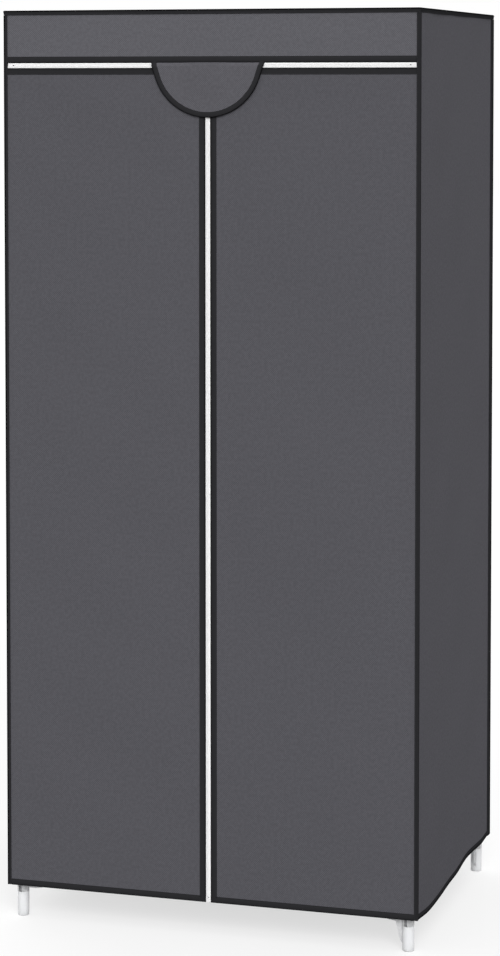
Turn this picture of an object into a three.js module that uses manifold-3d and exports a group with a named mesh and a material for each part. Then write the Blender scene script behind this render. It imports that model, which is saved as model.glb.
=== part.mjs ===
// Portable fabric wardrobe: a steel tube frame in plastic corner connectors, inside a zipped
// non-woven cover with two cloth doors, a valance and a flap over the place where the zips meet.
// Millimetres, +Z up, front towards -Y. The origin is on the floor, under the middle of the
// whole object's box.

import * as THREE from 'three';
import { mergeVertices } from 'three/addons/utils/BufferGeometryUtils.js';
import Module from 'manifold-3d';

const wasm = await Module();
wasm.setup();

// Overall size
const WIDTH = 700;
const DEPTH = 530;
const HEIGHT = 1500;

// Clearances: FIT between pieces that touch on the real thing, RUN between pieces that slide
const FIT = 0.3;
const RUN = 0.4;
const OVERRUN = 5;

// Steel tube, its drawn-in end that plugs into the next tube, and the frame's place in the cover
const TUBE_OD = 13;
const TUBE_WALL = 0.5;
const SPIGOT_LENGTH = 30;
const SPIGOT_TAPER = 5;
const POST_INSET = 20;
const POST_JOINT_HEIGHT = 770;

// Plastic connectors
const SOCKET_WALL = 3;
const SOCKET_REACH = 35;
const SOCKET_STOP = 12;
const RAIL_AXIS_HEIGHT = 62;
const FOOT_LEDGE_HEIGHT = 41;
const FOOT_TIP_RADIUS = 9.4;
const FOOT_TAPER_HEIGHT = 45;
const FOOT_EDGE = 1.2;
const GUSSET_THICK = 3;
const GUSSET_RUN = 10;
const GUSSET_DROP = 34;
const HOLDER_LENGTH = 24;

// Cover cloth, the tape that binds its edges, and the folded strips on its corners
const FABRIC = 0.8;
const TAPE = 0.6;
const BINDING_WIDTH = 10;
const STRIP_THICK = 1.4;
const STRIP_FRONT_LEG = 6;
const STRIP_SIDE_LEG = 8;
const TOP_STRIP_LEG = 7;
const HEM_HEIGHT = 54;
const HEM_WAVE = 10;
const SHELF_TURN_DOWN = 12;
const SHELF_CLEARANCE = 1;

// Zips: the coil on each half, its woven tape, and the height of the level zip
const COIL_WIDTH = 2.6;
const COIL_HEIGHT = 2.2;
const COIL_GAP = 1.8;
const BARE_TAPE = 0.7;
const VALANCE_DROP = 85;

// Zip sliders and their ribbon pulls
const SLIDER_LENGTH = 12;
const SLIDER_WIDTH = 8.4;
const SLIDER_NOSE = 6.2;
const SLIDER_PLATE = 1.2;
const SLIDER_WEB_LENGTH = 4;
const BAIL_POST = 1.2;
const BAIL_REACH = 4.8;
const BAIL_BAR = 0.7;
const BAIL_WIDTH = 1.4;
const SLIDER_SPACING = 1.5;
const PULL_WIDTH = 6;
const PULL_THICK = 0.8;
const PULL_LENGTH = 28;
const PULL_MARGIN = 1.5;

// Flap over the crossing of the zips
const FLAP_RADIUS = 91;
const FLAP_CENTRE_RISE = 5;
const FLAP_SIDE_ANGLE = 18 * Math.PI / 180;
const FLAP_LAP = 4.5;
const FLAP_SEAM = 2.5;
const FLAP_BINDING = 8;

// Roundness, in sides
const TUBE_SIDES = 24;
const FLAP_SIDES = 28;
const HEM_SIDES = 20;

// The side hem's wave: where along the depth, and how high in shares of HEM_WAVE
const HEM_WAVE_shares = [
  [0, 0], [0.15, -0.7], [0.3, -0.45], [0.45, 0.15], [0.58, 0.5], [0.69, 0.9], [0.84, 0.6], [1, 0],
];

// Tube and socket radii
const TUBE_R = TUBE_OD / 2;
const TUBE_BORE_R = TUBE_R - TUBE_WALL;
const SPIGOT_R = TUBE_BORE_R - FIT;
const SOCKET_BORE_R = TUBE_R + FIT;
const SOCKET_R = SOCKET_BORE_R + SOCKET_WALL;

// Cloth layers, from the middle of a sheet outwards
const SHEET_HALF = FABRIC / 2;
const BINDING_HALF = SHEET_HALF + FIT + TAPE;
const STRIP_FACE = SHEET_HALF + FIT + STRIP_THICK;

// Zip and slider layers, forwards of the middle of the front sheets
const ZIP_TAPE_FRONT = -(BINDING_HALF + FIT);
const ZIP_TAPE_BACK = ZIP_TAPE_FRONT - TAPE;
const COIL_FRONT = ZIP_TAPE_FRONT + COIL_HEIGHT;
const PLATE_BACK = BINDING_HALF + RUN;
const PLATE_FRONT = PLATE_BACK + SLIDER_PLATE;
const PULL_BACK = PLATE_FRONT + FIT;
const PULL_FRONT = PULL_BACK + PULL_THICK;
const BAIL_BACK = PULL_FRONT + FIT;
const BAIL_FRONT = BAIL_BACK + BAIL_BAR;
const FLAP_STAND = BAIL_FRONT + FIT + SHEET_HALF;

// Places across the width and the depth
const SIDE_X = WIDTH / 2 - STRIP_FACE;
const FRONT_Y = -DEPTH / 2 + BINDING_HALF + FLAP_STAND;
const BACK_Y = DEPTH / 2 - STRIP_FACE;
const STRIP_FRONT_Y = FRONT_Y - STRIP_FACE;
const FLAP_Y = FRONT_Y - FLAP_STAND;
const POST_X = WIDTH / 2 - POST_INSET;
const POST_FRONT_Y = STRIP_FRONT_Y + POST_INSET;
const POST_BACK_Y = DEPTH / 2 - POST_INSET;
const DOOR_HINGE_X = WIDTH / 2 - STRIP_FRONT_LEG - FIT;
const ZIP_HALF_GAP = COIL_GAP / 2;
const ZIP_HALF_WIDTH = ZIP_HALF_GAP + COIL_WIDTH + BARE_TAPE;

// Heights
const TOP_SHEET_Z = HEIGHT - STRIP_FACE;
const SHEET_TOP_Z = TOP_SHEET_Z - SHEET_HALF - FIT;
const TOP_RAIL_Z = SHEET_TOP_Z - SOCKET_R;
const VALANCE_LOW_Z = HEIGHT - VALANCE_DROP;
const ZIP_Z = VALANCE_LOW_Z - ZIP_HALF_WIDTH;
const DOOR_TOP_Z = ZIP_Z - ZIP_HALF_WIDTH;
const STRIP_TOP_Z = HEIGHT - TOP_STRIP_LEG - FIT;
const SHELF_Z = RAIL_AXIS_HEIGHT + TUBE_R + FIT;
const FLAP_TOP_Z = VALANCE_LOW_Z + FLAP_LAP;

const materials = {
  cloth: new THREE.MeshStandardMaterial({ color: 0x55555a, roughness: 0.95, metalness: 0 }),
  binding: new THREE.MeshStandardMaterial({ color: 0x2c2c2f, roughness: 0.85, metalness: 0 }),
  zip: new THREE.MeshStandardMaterial({ color: 0xf0eff1, roughness: 0.5, metalness: 0 }),
  plastic: new THREE.MeshStandardMaterial({ color: 0xe6e8ec, roughness: 0.35, metalness: 0 }),
  steel: new THREE.MeshStandardMaterial({ color: 0x9a9ca0, roughness: 0.35, metalness: 0.9 }),
  slider: new THREE.MeshStandardMaterial({ color: 0xc8c9cc, roughness: 0.3, metalness: 0.9 }),
  ribbon: new THREE.MeshStandardMaterial({ color: 0x2a2a2d, roughness: 0.8, metalness: 0 }),
};

// A closed geometry as a solid that can be joined and cut
function solid(geometry) {
  const bare = geometry.clone();
  bare.deleteAttribute('normal');
  bare.deleteAttribute('uv');
  const merged = mergeVertices(bare);
  return new wasm.Manifold(new wasm.Mesh({
    numProp: 3,
    vertProperties: new Float32Array(merged.attributes.position.array),
    triVerts: new Uint32Array(merged.index.array),
  }));
}

// A solid as a geometry again
function geometryOf(body) {
  const mesh = body.getMesh();
  const geometry = new THREE.BufferGeometry();
  geometry.setAttribute('position', new THREE.BufferAttribute(new Float32Array(mesh.vertProperties), 3));
  geometry.setIndex(new THREE.BufferAttribute(new Uint32Array(mesh.triVerts), 1));
  geometry.computeVertexNormals();
  return geometry;
}

function join(first, ...others) {
  return others.reduce((body, other) => body.add(other), first);
}

function cut(first, ...others) {
  return others.reduce((body, other) => body.subtract(other), first);
}

// A box between two corners
function block(low, high) {
  const size = high.map((value, axis) => value - low[axis]);
  const middle = high.map((value, axis) => (value + low[axis]) / 2);
  return new THREE.BoxGeometry(...size).translate(...middle);
}

// A round bar along +Z, from a list of [radius, height] that starts and ends on the axis
function turned(profile) {
  return new THREE.LatheGeometry(profile.map(([r, z]) => new THREE.Vector2(r, z)), TUBE_SIDES)
    .rotateX(Math.PI / 2);
}

// A round rod along +Z
function rod(radius, from, to) {
  return turned([[0, from], [radius, from], [radius, to], [0, to]]);
}

// An outline of [x, z] pairs, with its thickness along Y from `front` to `back`
function slab(outline, front, back) {
  const shape = new THREE.Shape(outline.map(([x, z]) => new THREE.Vector2(x, z)));
  return new THREE.ExtrudeGeometry(shape, { depth: back - front, bevelEnabled: false })
    .rotateX(Math.PI / 2)
    .translate(0, back, 0);
}

// An outline of [y, z] pairs, with its thickness along X from `left` to `right`
function sideSlab(outline, left, right) {
  return slab(outline, 0, right - left).rotateZ(Math.PI / 2).translate(right, 0, 0);
}

// An outline of [x, y] pairs, with its thickness along Z from `low` to `high`
function column(outline, low, high) {
  const shape = new THREE.Shape(outline.map(([x, y]) => new THREE.Vector2(x, y)));
  return new THREE.ExtrudeGeometry(shape, { depth: high - low, bevelEnabled: false })
    .translate(0, 0, low);
}

const wardrobe = new THREE.Group();

function add(name, geometry, material) {
  const mesh = new THREE.Mesh(geometry, materials[material]);
  mesh.name = name;
  wardrobe.add(mesh);
  return mesh;
}

const corners = [
  { name: 'front_left', side: -1, y: POST_FRONT_Y, depth: 1 },
  { name: 'front_right', side: 1, y: POST_FRONT_Y, depth: 1 },
  { name: 'back_left', side: -1, y: POST_BACK_Y, depth: -1 },
  { name: 'back_right', side: 1, y: POST_BACK_Y, depth: -1 },
];

// A socket pointing along +Z from the meeting point of the tubes: its outside and its bore
function socket() {
  return {
    outside: solid(rod(SOCKET_R, 0, SOCKET_REACH)),
    bore: solid(rod(SOCKET_BORE_R, SOCKET_STOP, SOCKET_REACH + OVERRUN)),
  };
}

function turnedSocket(axis, angle) {
  const rotation = new THREE.Matrix4().makeRotationAxis(axis, angle);
  const { outside, bore } = socket();
  return {
    outside: solid(geometryOf(outside).applyMatrix4(rotation)),
    bore: solid(geometryOf(bore).applyMatrix4(rotation)),
  };
}

// The two level sockets of a corner connector, towards the middle of the wardrobe
function levelSockets(corner) {
  const across = turnedSocket(new THREE.Vector3(0, 1, 0), -corner.side * Math.PI / 2);
  const along = turnedSocket(new THREE.Vector3(1, 0, 0), -corner.depth * Math.PI / 2);
  return [across, along];
}

// A thin web between the foot and the underside of a level socket
function gusset(direction, alongDepth) {
  const top = -SOCKET_R + SOCKET_WALL / 2;
  const outline = [
    [0, top],
    [direction * (SOCKET_R + GUSSET_RUN), top],
    [direction * (SOCKET_R + GUSSET_RUN), -SOCKET_R],
    [direction * (SOCKET_R - SOCKET_WALL / 2), -SOCKET_R - GUSSET_DROP],
    [0, -SOCKET_R - GUSSET_DROP],
  ];
  const ordered = direction > 0 ? outline.reverse() : outline;
  const make = alongDepth ? sideSlab : slab;
  return solid(make(ordered, -GUSSET_THICK / 2, GUSSET_THICK / 2));
}

// Bottom corner connector: foot, ledge for the post, three sockets and two gussets
function footConnector(corner) {
  const [across, along] = levelSockets(corner);
  const foot = solid(turned([
    [0, -RAIL_AXIS_HEIGHT],
    [FOOT_TIP_RADIUS - FOOT_EDGE, -RAIL_AXIS_HEIGHT],
    [FOOT_TIP_RADIUS, FOOT_EDGE - RAIL_AXIS_HEIGHT],
    [SOCKET_R, FOOT_TAPER_HEIGHT - RAIL_AXIS_HEIGHT],
    [SOCKET_R, SOCKET_REACH],
    [0, SOCKET_REACH],
  ]));
  const ledge = FOOT_LEDGE_HEIGHT - RAIL_AXIS_HEIGHT;
  const postBore = solid(rod(SOCKET_BORE_R, ledge, SOCKET_REACH + OVERRUN));
  const outside = join(
    foot, across.outside, along.outside, gusset(-corner.side, false), gusset(corner.depth, true),
  );
  return geometryOf(cut(outside, postBore, across.bore, along.bore));
}

// Top corner connector: three sockets that meet in a solid core
function topConnector(corner) {
  const [across, along] = levelSockets(corner);
  const down = turnedSocket(new THREE.Vector3(1, 0, 0), Math.PI);
  const core = solid(rod(SOCKET_R, -SOCKET_R, SOCKET_R));
  const outside = join(core, down.outside, across.outside, along.outside);
  return geometryOf(cut(outside, down.bore, across.bore, along.bore));
}

// A plain length of tube along +Z
function tube(length) {
  return turned([[TUBE_R, 0], [TUBE_R, length], [TUBE_BORE_R, length], [TUBE_BORE_R, 0], [TUBE_R, 0]]);
}

// An upper post: its lower end is drawn in and plugs into the lower post
function upperPost(length) {
  const spigotBore = SPIGOT_R - TUBE_WALL;
  return turned([
    [SPIGOT_R, -SPIGOT_LENGTH],
    [SPIGOT_R, 0],
    [TUBE_R, SPIGOT_TAPER],
    [TUBE_R, length],
    [TUBE_BORE_R, length],
    [TUBE_BORE_R, SPIGOT_TAPER],
    [spigotBore, 0],
    [spigotBore, -SPIGOT_LENGTH],
    [SPIGOT_R, -SPIGOT_LENGTH],
  ]);
}

function makeFrame() {
  const lowerStart = FOOT_LEDGE_HEIGHT + FIT;
  const lowerLength = POST_JOINT_HEIGHT - lowerStart;
  const upperStart = POST_JOINT_HEIGHT + FIT;
  const upperLength = TOP_RAIL_Z - SOCKET_STOP - FIT - upperStart;
  for (const corner of corners) {
    const x = corner.side * POST_X;
    add(`foot_connector_${corner.name}`, footConnector(corner), 'plastic')
      .position.set(x, corner.y, RAIL_AXIS_HEIGHT);
    add(`top_connector_${corner.name}`, topConnector(corner), 'plastic')
      .position.set(x, corner.y, TOP_RAIL_Z);
    add(`lower_post_${corner.name}`, tube(lowerLength), 'steel')
      .position.set(x, corner.y, lowerStart);
    add(`upper_post_${corner.name}`, upperPost(upperLength), 'steel')
      .position.set(x, corner.y, upperStart);
  }

  const inset = SOCKET_STOP + FIT;
  const levels = [['bottom', RAIL_AXIS_HEIGHT], ['top', TOP_RAIL_Z]];
  for (const [level, z] of levels) {
    for (const [name, y] of [['front', POST_FRONT_Y], ['back', POST_BACK_Y]]) {
      const rail = tube(2 * (POST_X - inset)).rotateY(Math.PI / 2);
      add(`${level}_rail_${name}`, rail, 'steel').position.set(inset - POST_X, y, z);
    }
    for (const [name, side] of [['left', -1], ['right', 1]]) {
      const rail = tube(POST_BACK_Y - POST_FRONT_Y - 2 * inset).rotateX(-Math.PI / 2);
      add(`${level}_rail_${name}`, rail, 'steel')
        .position.set(side * POST_X, POST_FRONT_Y + inset, z);
    }
  }
}

// The hanging rod runs across the top, in a tee on each side rail
function makeRod() {
  const middle = (POST_FRONT_Y + POST_BACK_Y) / 2;
  for (const [name, side] of [['left', -1], ['right', 1]]) {
    const inward = turnedSocket(new THREE.Vector3(0, 1, 0), -side * Math.PI / 2);
    const half = HOLDER_LENGTH / 2;
    const sleeve = solid(rod(SOCKET_R, -half, half).rotateX(Math.PI / 2));
    const passage = solid(rod(SOCKET_BORE_R, -half - OVERRUN, half + OVERRUN).rotateX(Math.PI / 2));
    const holder = cut(join(sleeve, inward.outside), passage, inward.bore);
    add(`rod_holder_${name}`, geometryOf(holder), 'plastic')
      .position.set(side * POST_X, middle, TOP_RAIL_Z);
  }
  const inset = SOCKET_STOP + FIT;
  const rail = tube(2 * (POST_X - inset)).rotateY(Math.PI / 2);
  add('hanging_rod', rail, 'steel').position.set(inset - POST_X, middle, TOP_RAIL_Z);
}

// The bottom sheet lies on the four bottom rails, with its edges turned down outside them
function makeShelf() {
  const clear = SOCKET_REACH + SHELF_CLEARANCE;
  const outer = TUBE_R + FIT + FABRIC;
  const high = SHELF_Z + FABRIC;
  const low = high - SHELF_TURN_DOWN;
  const x = POST_X + outer;
  const xClear = POST_X - clear;
  const front = POST_FRONT_Y - outer;
  const back = POST_BACK_Y + outer;
  const frontClear = POST_FRONT_Y + clear;
  const backClear = POST_BACK_Y - clear;
  const sheet = join(
    solid(block([-x, frontClear, SHELF_Z], [x, backClear, high])),
    solid(block([-xClear, front, SHELF_Z], [xClear, back, high])),
    solid(block([-x, frontClear, low], [FABRIC - x, backClear, high])),
    solid(block([x - FABRIC, frontClear, low], [x, backClear, high])),
    solid(block([-xClear, front, low], [xClear, front + FABRIC, high])),
    solid(block([-xClear, back - FABRIC, low], [xClear, back, high])),
  );
  add('bottom_shelf', geometryOf(sheet), 'cloth');
}

// Height of the side hem's lower edge at a place along the depth
const hemFront = STRIP_FRONT_Y + STRIP_SIDE_LEG + FIT;
const hemBack = BACK_Y + BINDING_HALF;
const hemCurve = new THREE.CatmullRomCurve3(
  HEM_WAVE_shares.map(([along, lift]) => new THREE.Vector3(
    hemFront + along * (hemBack - hemFront), HEM_HEIGHT + lift * HEM_WAVE, 0,
  )),
);

// The wavy lower edge, raised by `lift`, as [y, z] pairs from front to back
function hemEdge(lift, front = hemFront, back = hemBack) {
  return hemCurve.getPoints(HEM_SIDES).map((point, index) => {
    const y = index === 0 ? front : index === HEM_SIDES ? back : point.x;
    return [y, point.y + lift];
  });
}

// A side panel's outline: the wavy hem below, straight above
function sideOutline() {
  const edge = hemEdge(TAPE + FIT, FRONT_Y - SHEET_HALF, BACK_Y + SHEET_HALF);
  return [...edge, [BACK_Y + SHEET_HALF, SHEET_TOP_Z], [FRONT_Y - SHEET_HALF, SHEET_TOP_Z]];
}

function makePanels() {
  const inner = SIDE_X - SHEET_HALF - FIT;
  const backLow = HEM_HEIGHT + TAPE + FIT;
  add('left_panel', sideSlab(sideOutline(), -SIDE_X - SHEET_HALF, SHEET_HALF - SIDE_X), 'cloth');
  add('right_panel', sideSlab(sideOutline(), SIDE_X - SHEET_HALF, SIDE_X + SHEET_HALF), 'cloth');
  add('back_panel', block(
    [-inner, BACK_Y - SHEET_HALF, backLow], [inner, BACK_Y + SHEET_HALF, SHEET_TOP_Z],
  ), 'cloth');
  add('valance_panel', block(
    [-inner, FRONT_Y - SHEET_HALF, VALANCE_LOW_Z + TAPE + FIT],
    [inner, FRONT_Y + SHEET_HALF, SHEET_TOP_Z],
  ), 'cloth');
  add('top_panel', block(
    [-SIDE_X - SHEET_HALF, FRONT_Y - SHEET_HALF, TOP_SHEET_Z - SHEET_HALF],
    [SIDE_X + SHEET_HALF, BACK_Y + SHEET_HALF, TOP_SHEET_Z + SHEET_HALF],
  ), 'cloth');
}

// The folded strip round the top edges: a leg down the sides and a leg over the top
function makeTopBinding() {
  const x = WIDTH / 2;
  const front = STRIP_FRONT_Y;
  const back = DEPTH / 2;
  const low = HEIGHT - TOP_STRIP_LEG;
  const under = HEIGHT - STRIP_THICK;
  const outside = solid(block([-x, front, low], [x, back, HEIGHT]));
  const hollow = solid(block(
    [STRIP_THICK - x, front + STRIP_THICK, low - OVERRUN],
    [x - STRIP_THICK, back - STRIP_THICK, under],
  ));
  const window = solid(block(
    [TOP_STRIP_LEG - x, front + TOP_STRIP_LEG, low - OVERRUN],
    [x - TOP_STRIP_LEG, back - TOP_STRIP_LEG, HEIGHT + OVERRUN],
  ));
  add('top_binding', geometryOf(cut(outside, hollow, window)), 'binding');
}

// The folded strips down the four corners. The front ones reach the hem's lower edge, and the
// back ones stop above the hem, which runs round behind them
function makeCornerBindings() {
  for (const corner of corners) {
    const atFront = corner.depth > 0;
    const y = atFront ? STRIP_FRONT_Y : DEPTH / 2;
    const x = corner.side * WIDTH / 2;
    const inX = -corner.side;
    const inY = corner.depth;
    const outline = [
      [x, y],
      [x + inX * STRIP_FRONT_LEG, y],
      [x + inX * STRIP_FRONT_LEG, y + inY * STRIP_THICK],
      [x + inX * STRIP_THICK, y + inY * STRIP_THICK],
      [x + inX * STRIP_THICK, y + inY * STRIP_SIDE_LEG],
      [x, y + inY * STRIP_SIDE_LEG],
    ];
    const low = atFront ? HEM_HEIGHT : HEM_HEIGHT + HEM_WAVE / 2 + BINDING_WIDTH + FIT;
    add(`corner_binding_${corner.name}`, column(outline, low, STRIP_TOP_Z), 'binding');
  }
}

// The hem's tape is folded over the lower edges of the left side, the back and the right side
function makeHem() {
  const arms = [];
  const slots = [];
  for (const side of [-1, 1]) {
    const x = side * SIDE_X;
    const slotHalf = SHEET_HALF + FIT;
    const upper = hemEdge(BINDING_WIDTH).reverse();
    const slotTop = hemEdge(BINDING_WIDTH + OVERRUN, hemFront - OVERRUN, BACK_Y + slotHalf).reverse();
    const slotLow = hemEdge(TAPE, hemFront - OVERRUN, BACK_Y + slotHalf);
    arms.push(solid(sideSlab([...hemEdge(0), ...upper], x - BINDING_HALF, x + BINDING_HALF)));
    slots.push(solid(sideSlab([...slotLow, ...slotTop], x - slotHalf, x + slotHalf)));
  }
  const reach = SIDE_X + BINDING_HALF;
  const slotReach = SIDE_X + SHEET_HALF + FIT;
  arms.push(solid(block(
    [-reach, BACK_Y - BINDING_HALF, HEM_HEIGHT],
    [reach, BACK_Y + BINDING_HALF, HEM_HEIGHT + BINDING_WIDTH],
  )));
  slots.push(solid(block(
    [-slotReach, BACK_Y - SHEET_HALF - FIT, HEM_HEIGHT + TAPE],
    [slotReach, BACK_Y + SHEET_HALF + FIT, HEM_HEIGHT + BINDING_WIDTH + OVERRUN],
  )));
  add('hem_binding', geometryOf(cut(join(...arms), ...slots)), 'binding');
}

// The tape folded over the valance's lower edge, and the fixed half of the level zip behind it
function makeValanceTrim() {
  const outside = solid(block(
    [-DOOR_HINGE_X, FRONT_Y - BINDING_HALF, VALANCE_LOW_Z],
    [DOOR_HINGE_X, FRONT_Y + BINDING_HALF, VALANCE_LOW_Z + BINDING_WIDTH],
  ));
  const slotHalf = SHEET_HALF + FIT;
  const slot = solid(block(
    [-DOOR_HINGE_X - OVERRUN, FRONT_Y - slotHalf, VALANCE_LOW_Z + TAPE],
    [DOOR_HINGE_X + OVERRUN, FRONT_Y + slotHalf, VALANCE_LOW_Z + BINDING_WIDTH + OVERRUN],
  ));
  add('valance_binding', geometryOf(cut(outside, slot)), 'binding');
  add('valance_zip', zipHalf(-DOOR_HINGE_X, DOOR_HINGE_X).translate(0, 0, ZIP_Z), 'zip');
}

// Half of a zip, along X, above the zip's middle line: the coil on the edge of its tape
function zipHalf(from, to) {
  const outline = [
    [FRONT_Y - COIL_FRONT, ZIP_HALF_GAP],
    [FRONT_Y - COIL_FRONT, ZIP_HALF_GAP + COIL_WIDTH],
    [FRONT_Y - ZIP_TAPE_FRONT, ZIP_HALF_GAP + COIL_WIDTH],
    [FRONT_Y - ZIP_TAPE_FRONT, ZIP_HALF_WIDTH + BINDING_WIDTH],
    [FRONT_Y - ZIP_TAPE_BACK, ZIP_HALF_WIDTH + BINDING_WIDTH],
    [FRONT_Y - ZIP_TAPE_BACK, ZIP_HALF_GAP],
  ];
  return sideSlab(outline.reverse(), from, to);
}

// A door: its sheet, the tape folded over its top, middle and bottom edges, and its two zip halves
function makeDoor(name, side) {
  const hinge = side * DOOR_HINGE_X;
  const edge = side * ZIP_HALF_WIDTH;
  const inward = -side;
  const rectangle = (outer, low, high, front, back) => {
    const xs = [hinge - inward * outer.overrun, edge - inward * outer.inset].sort((a, b) => a - b);
    return solid(block([xs[0], FRONT_Y + front, low], [xs[1], FRONT_Y + back, high]));
  };
  const skin = TAPE + FIT;
  const sheet = rectangle(
    { overrun: 0, inset: skin }, HEM_HEIGHT + skin, DOOR_TOP_Z - skin, -SHEET_HALF, SHEET_HALF,
  );
  add(`${name}_door_panel`, geometryOf(sheet), 'cloth');

  const slotHalf = SHEET_HALF + FIT;
  const tape = cut(
    rectangle({ overrun: 0, inset: 0 }, HEM_HEIGHT, DOOR_TOP_Z, -BINDING_HALF, BINDING_HALF),
    rectangle(
      { overrun: OVERRUN, inset: BINDING_WIDTH }, HEM_HEIGHT + BINDING_WIDTH,
      DOOR_TOP_Z - BINDING_WIDTH, -BINDING_HALF - OVERRUN, BINDING_HALF + OVERRUN,
    ),
    rectangle(
      { overrun: OVERRUN, inset: TAPE }, HEM_HEIGHT + TAPE, DOOR_TOP_Z - TAPE, -slotHalf, slotHalf,
    ),
  );
  add(`${name}_door_binding`, geometryOf(tape), 'binding');

  const ends = [hinge, side * ZIP_HALF_GAP].sort((a, b) => a - b);
  const level = solid(zipHalf(...ends));
  const flipped = geometryOf(level.mirror([0, 0, 1]));
  add(`${name}_zip_level`, flipped.translate(0, 0, ZIP_Z), 'zip');

  const top = ZIP_Z - ZIP_HALF_WIDTH - BINDING_WIDTH - FIT;
  const upright = zipHalf(HEM_HEIGHT, top).rotateY(-Math.PI / 2);
  const placed = side < 0 ? upright : geometryOf(solid(upright).mirror([1, 0, 0]));
  add(`${name}_zip_upright`, placed, 'zip');
}

// A zip slider that travels along Z: a plate on each side of the chain, the web that parts it,
// and the low bail that holds the pull
function slider() {
  const half = SLIDER_LENGTH / 2;
  const wide = SLIDER_WIDTH / 2;
  const nose = SLIDER_NOSE / 2;
  const outline = [
    [-nose, -half], [nose, -half], [wide, 0], [wide, half - nose],
    [nose, half], [-nose, half], [-wide, half - nose], [-wide, 0],
  ];
  const front = solid(slab(outline, -PLATE_FRONT, -PLATE_BACK));
  const backPlate = [RUN - ZIP_TAPE_BACK, RUN - ZIP_TAPE_BACK + SLIDER_PLATE];
  const back = solid(slab(outline, ...backPlate));
  const webHalf = ZIP_HALF_GAP - RUN;
  const web = solid(block(
    [-webHalf, -PLATE_FRONT, -SLIDER_WEB_LENGTH / 2],
    [webHalf, backPlate[1], SLIDER_WEB_LENGTH / 2],
  ));
  const barHalf = BAIL_WIDTH / 2;
  const postHalf = BAIL_POST / 2;
  const reach = BAIL_REACH / 2;
  const bail = [-1, 1].map((end) => solid(block(
    [-postHalf, -BAIL_FRONT, end * reach - postHalf],
    [postHalf, -PLATE_BACK, end * reach + postHalf],
  )));
  const bar = solid(block(
    [-barHalf, -BAIL_FRONT, -reach - postHalf], [barHalf, -BAIL_BACK, reach + postHalf],
  ));
  return geometryOf(join(front, back, web, ...bail, bar));
}

// A woven ribbon pull that hangs down from a bail post at its origin
function pull() {
  const hole = BAIL_POST / 2 + RUN;
  const top = hole + PULL_MARGIN;
  const half = PULL_WIDTH / 2;
  const ribbon = solid(block([-half, -PULL_FRONT, top - PULL_LENGTH], [half, -PULL_BACK, top]));
  const eye = solid(block([-hole, -PULL_FRONT - OVERRUN, -hole], [hole, OVERRUN, hole]));
  return geometryOf(cut(ribbon, eye));
}

// The upright zip's slider stands just under the two level ones, which meet in the middle
function makeSliders() {
  const uprightZ = ZIP_Z - SLIDER_WIDTH / 2 - SLIDER_SPACING - SLIDER_LENGTH / 2;
  add('upright_slider', slider(), 'slider').position.set(0, FRONT_Y, uprightZ);
  add('upright_pull', pull(), 'ribbon').position.set(0, FRONT_Y, uprightZ - BAIL_REACH / 2);
  for (const [name, side] of [['left', -1], ['right', 1]]) {
    const x = side * (SLIDER_LENGTH + SLIDER_SPACING) / 2;
    const body = slider().rotateY(-side * Math.PI / 2);
    add(`${name}_slider`, body, 'slider').position.set(x, FRONT_Y, ZIP_Z);
    add(`${name}_pull`, pull(), 'ribbon').position.set(x + side * BAIL_REACH / 2, FRONT_Y, ZIP_Z);
  }
}

// The flap's outline: straight sides that lean inwards and a round bottom. `inset` brings the
// edge in, and `rise` lifts the top
function flapOutline(inset, rise = 0) {
  const radius = FLAP_RADIUS - inset;
  const centre = VALANCE_LOW_Z + FLAP_CENTRE_RISE;
  const top = FLAP_TOP_Z + rise;
  const run = (top - centre + radius * Math.sin(FLAP_SIDE_ANGLE)) / Math.cos(FLAP_SIDE_ANGLE);
  const topX = radius * Math.cos(FLAP_SIDE_ANGLE) + run * Math.sin(FLAP_SIDE_ANGLE);
  const points = [[topX, top]];
  const span = Math.PI - 2 * FLAP_SIDE_ANGLE;
  for (let step = 0; step <= FLAP_SIDES; step += 1) {
    const angle = -FLAP_SIDE_ANGLE - span * step / FLAP_SIDES;
    points.push([radius * Math.cos(angle), centre + radius * Math.sin(angle)]);
  }
  points.push([-topX, top]);
  return points;
}

// The flap hangs from the valance in front of the sliders. Its top is folded back to the valance
function makeFlap() {
  const sheet = solid(slab(flapOutline(TAPE + FIT), FLAP_Y - SHEET_HALF, FLAP_Y + SHEET_HALF));
  const seamX = (FLAP_RADIUS - FLAP_BINDING) * Math.cos(FLAP_SIDE_ANGLE);
  const seam = solid(block(
    [-seamX, FLAP_Y - SHEET_HALF, FLAP_TOP_Z - FLAP_SEAM],
    [seamX, FRONT_Y - BINDING_HALF - FIT, FLAP_TOP_Z],
  ));
  add('flap_panel', geometryOf(join(sheet, seam)), 'cloth');

  const slotHalf = SHEET_HALF + FIT;
  const rim = cut(
    solid(slab(flapOutline(0), FLAP_Y - BINDING_HALF, FLAP_Y + BINDING_HALF)),
    solid(slab(
      flapOutline(FLAP_BINDING, OVERRUN), FLAP_Y - BINDING_HALF - OVERRUN, FLAP_Y + BINDING_HALF + OVERRUN,
    )),
    solid(slab(flapOutline(TAPE, OVERRUN), FLAP_Y - slotHalf, FLAP_Y + slotHalf)),
  );
  add('flap_binding', geometryOf(rim), 'binding');
}

makeFrame();
makeRod();
makeShelf();
makePanels();
makeTopBinding();
makeCornerBindings();
makeHem();
makeValanceTrim();
makeDoor('left', -1);
makeDoor('right', 1);
makeSliders();
makeFlap();

export default wardrobe;
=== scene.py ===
"""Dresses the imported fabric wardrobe: cover, edge tapes, zips, frame and studio. Metres, +Z up."""

import functools
import math

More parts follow.
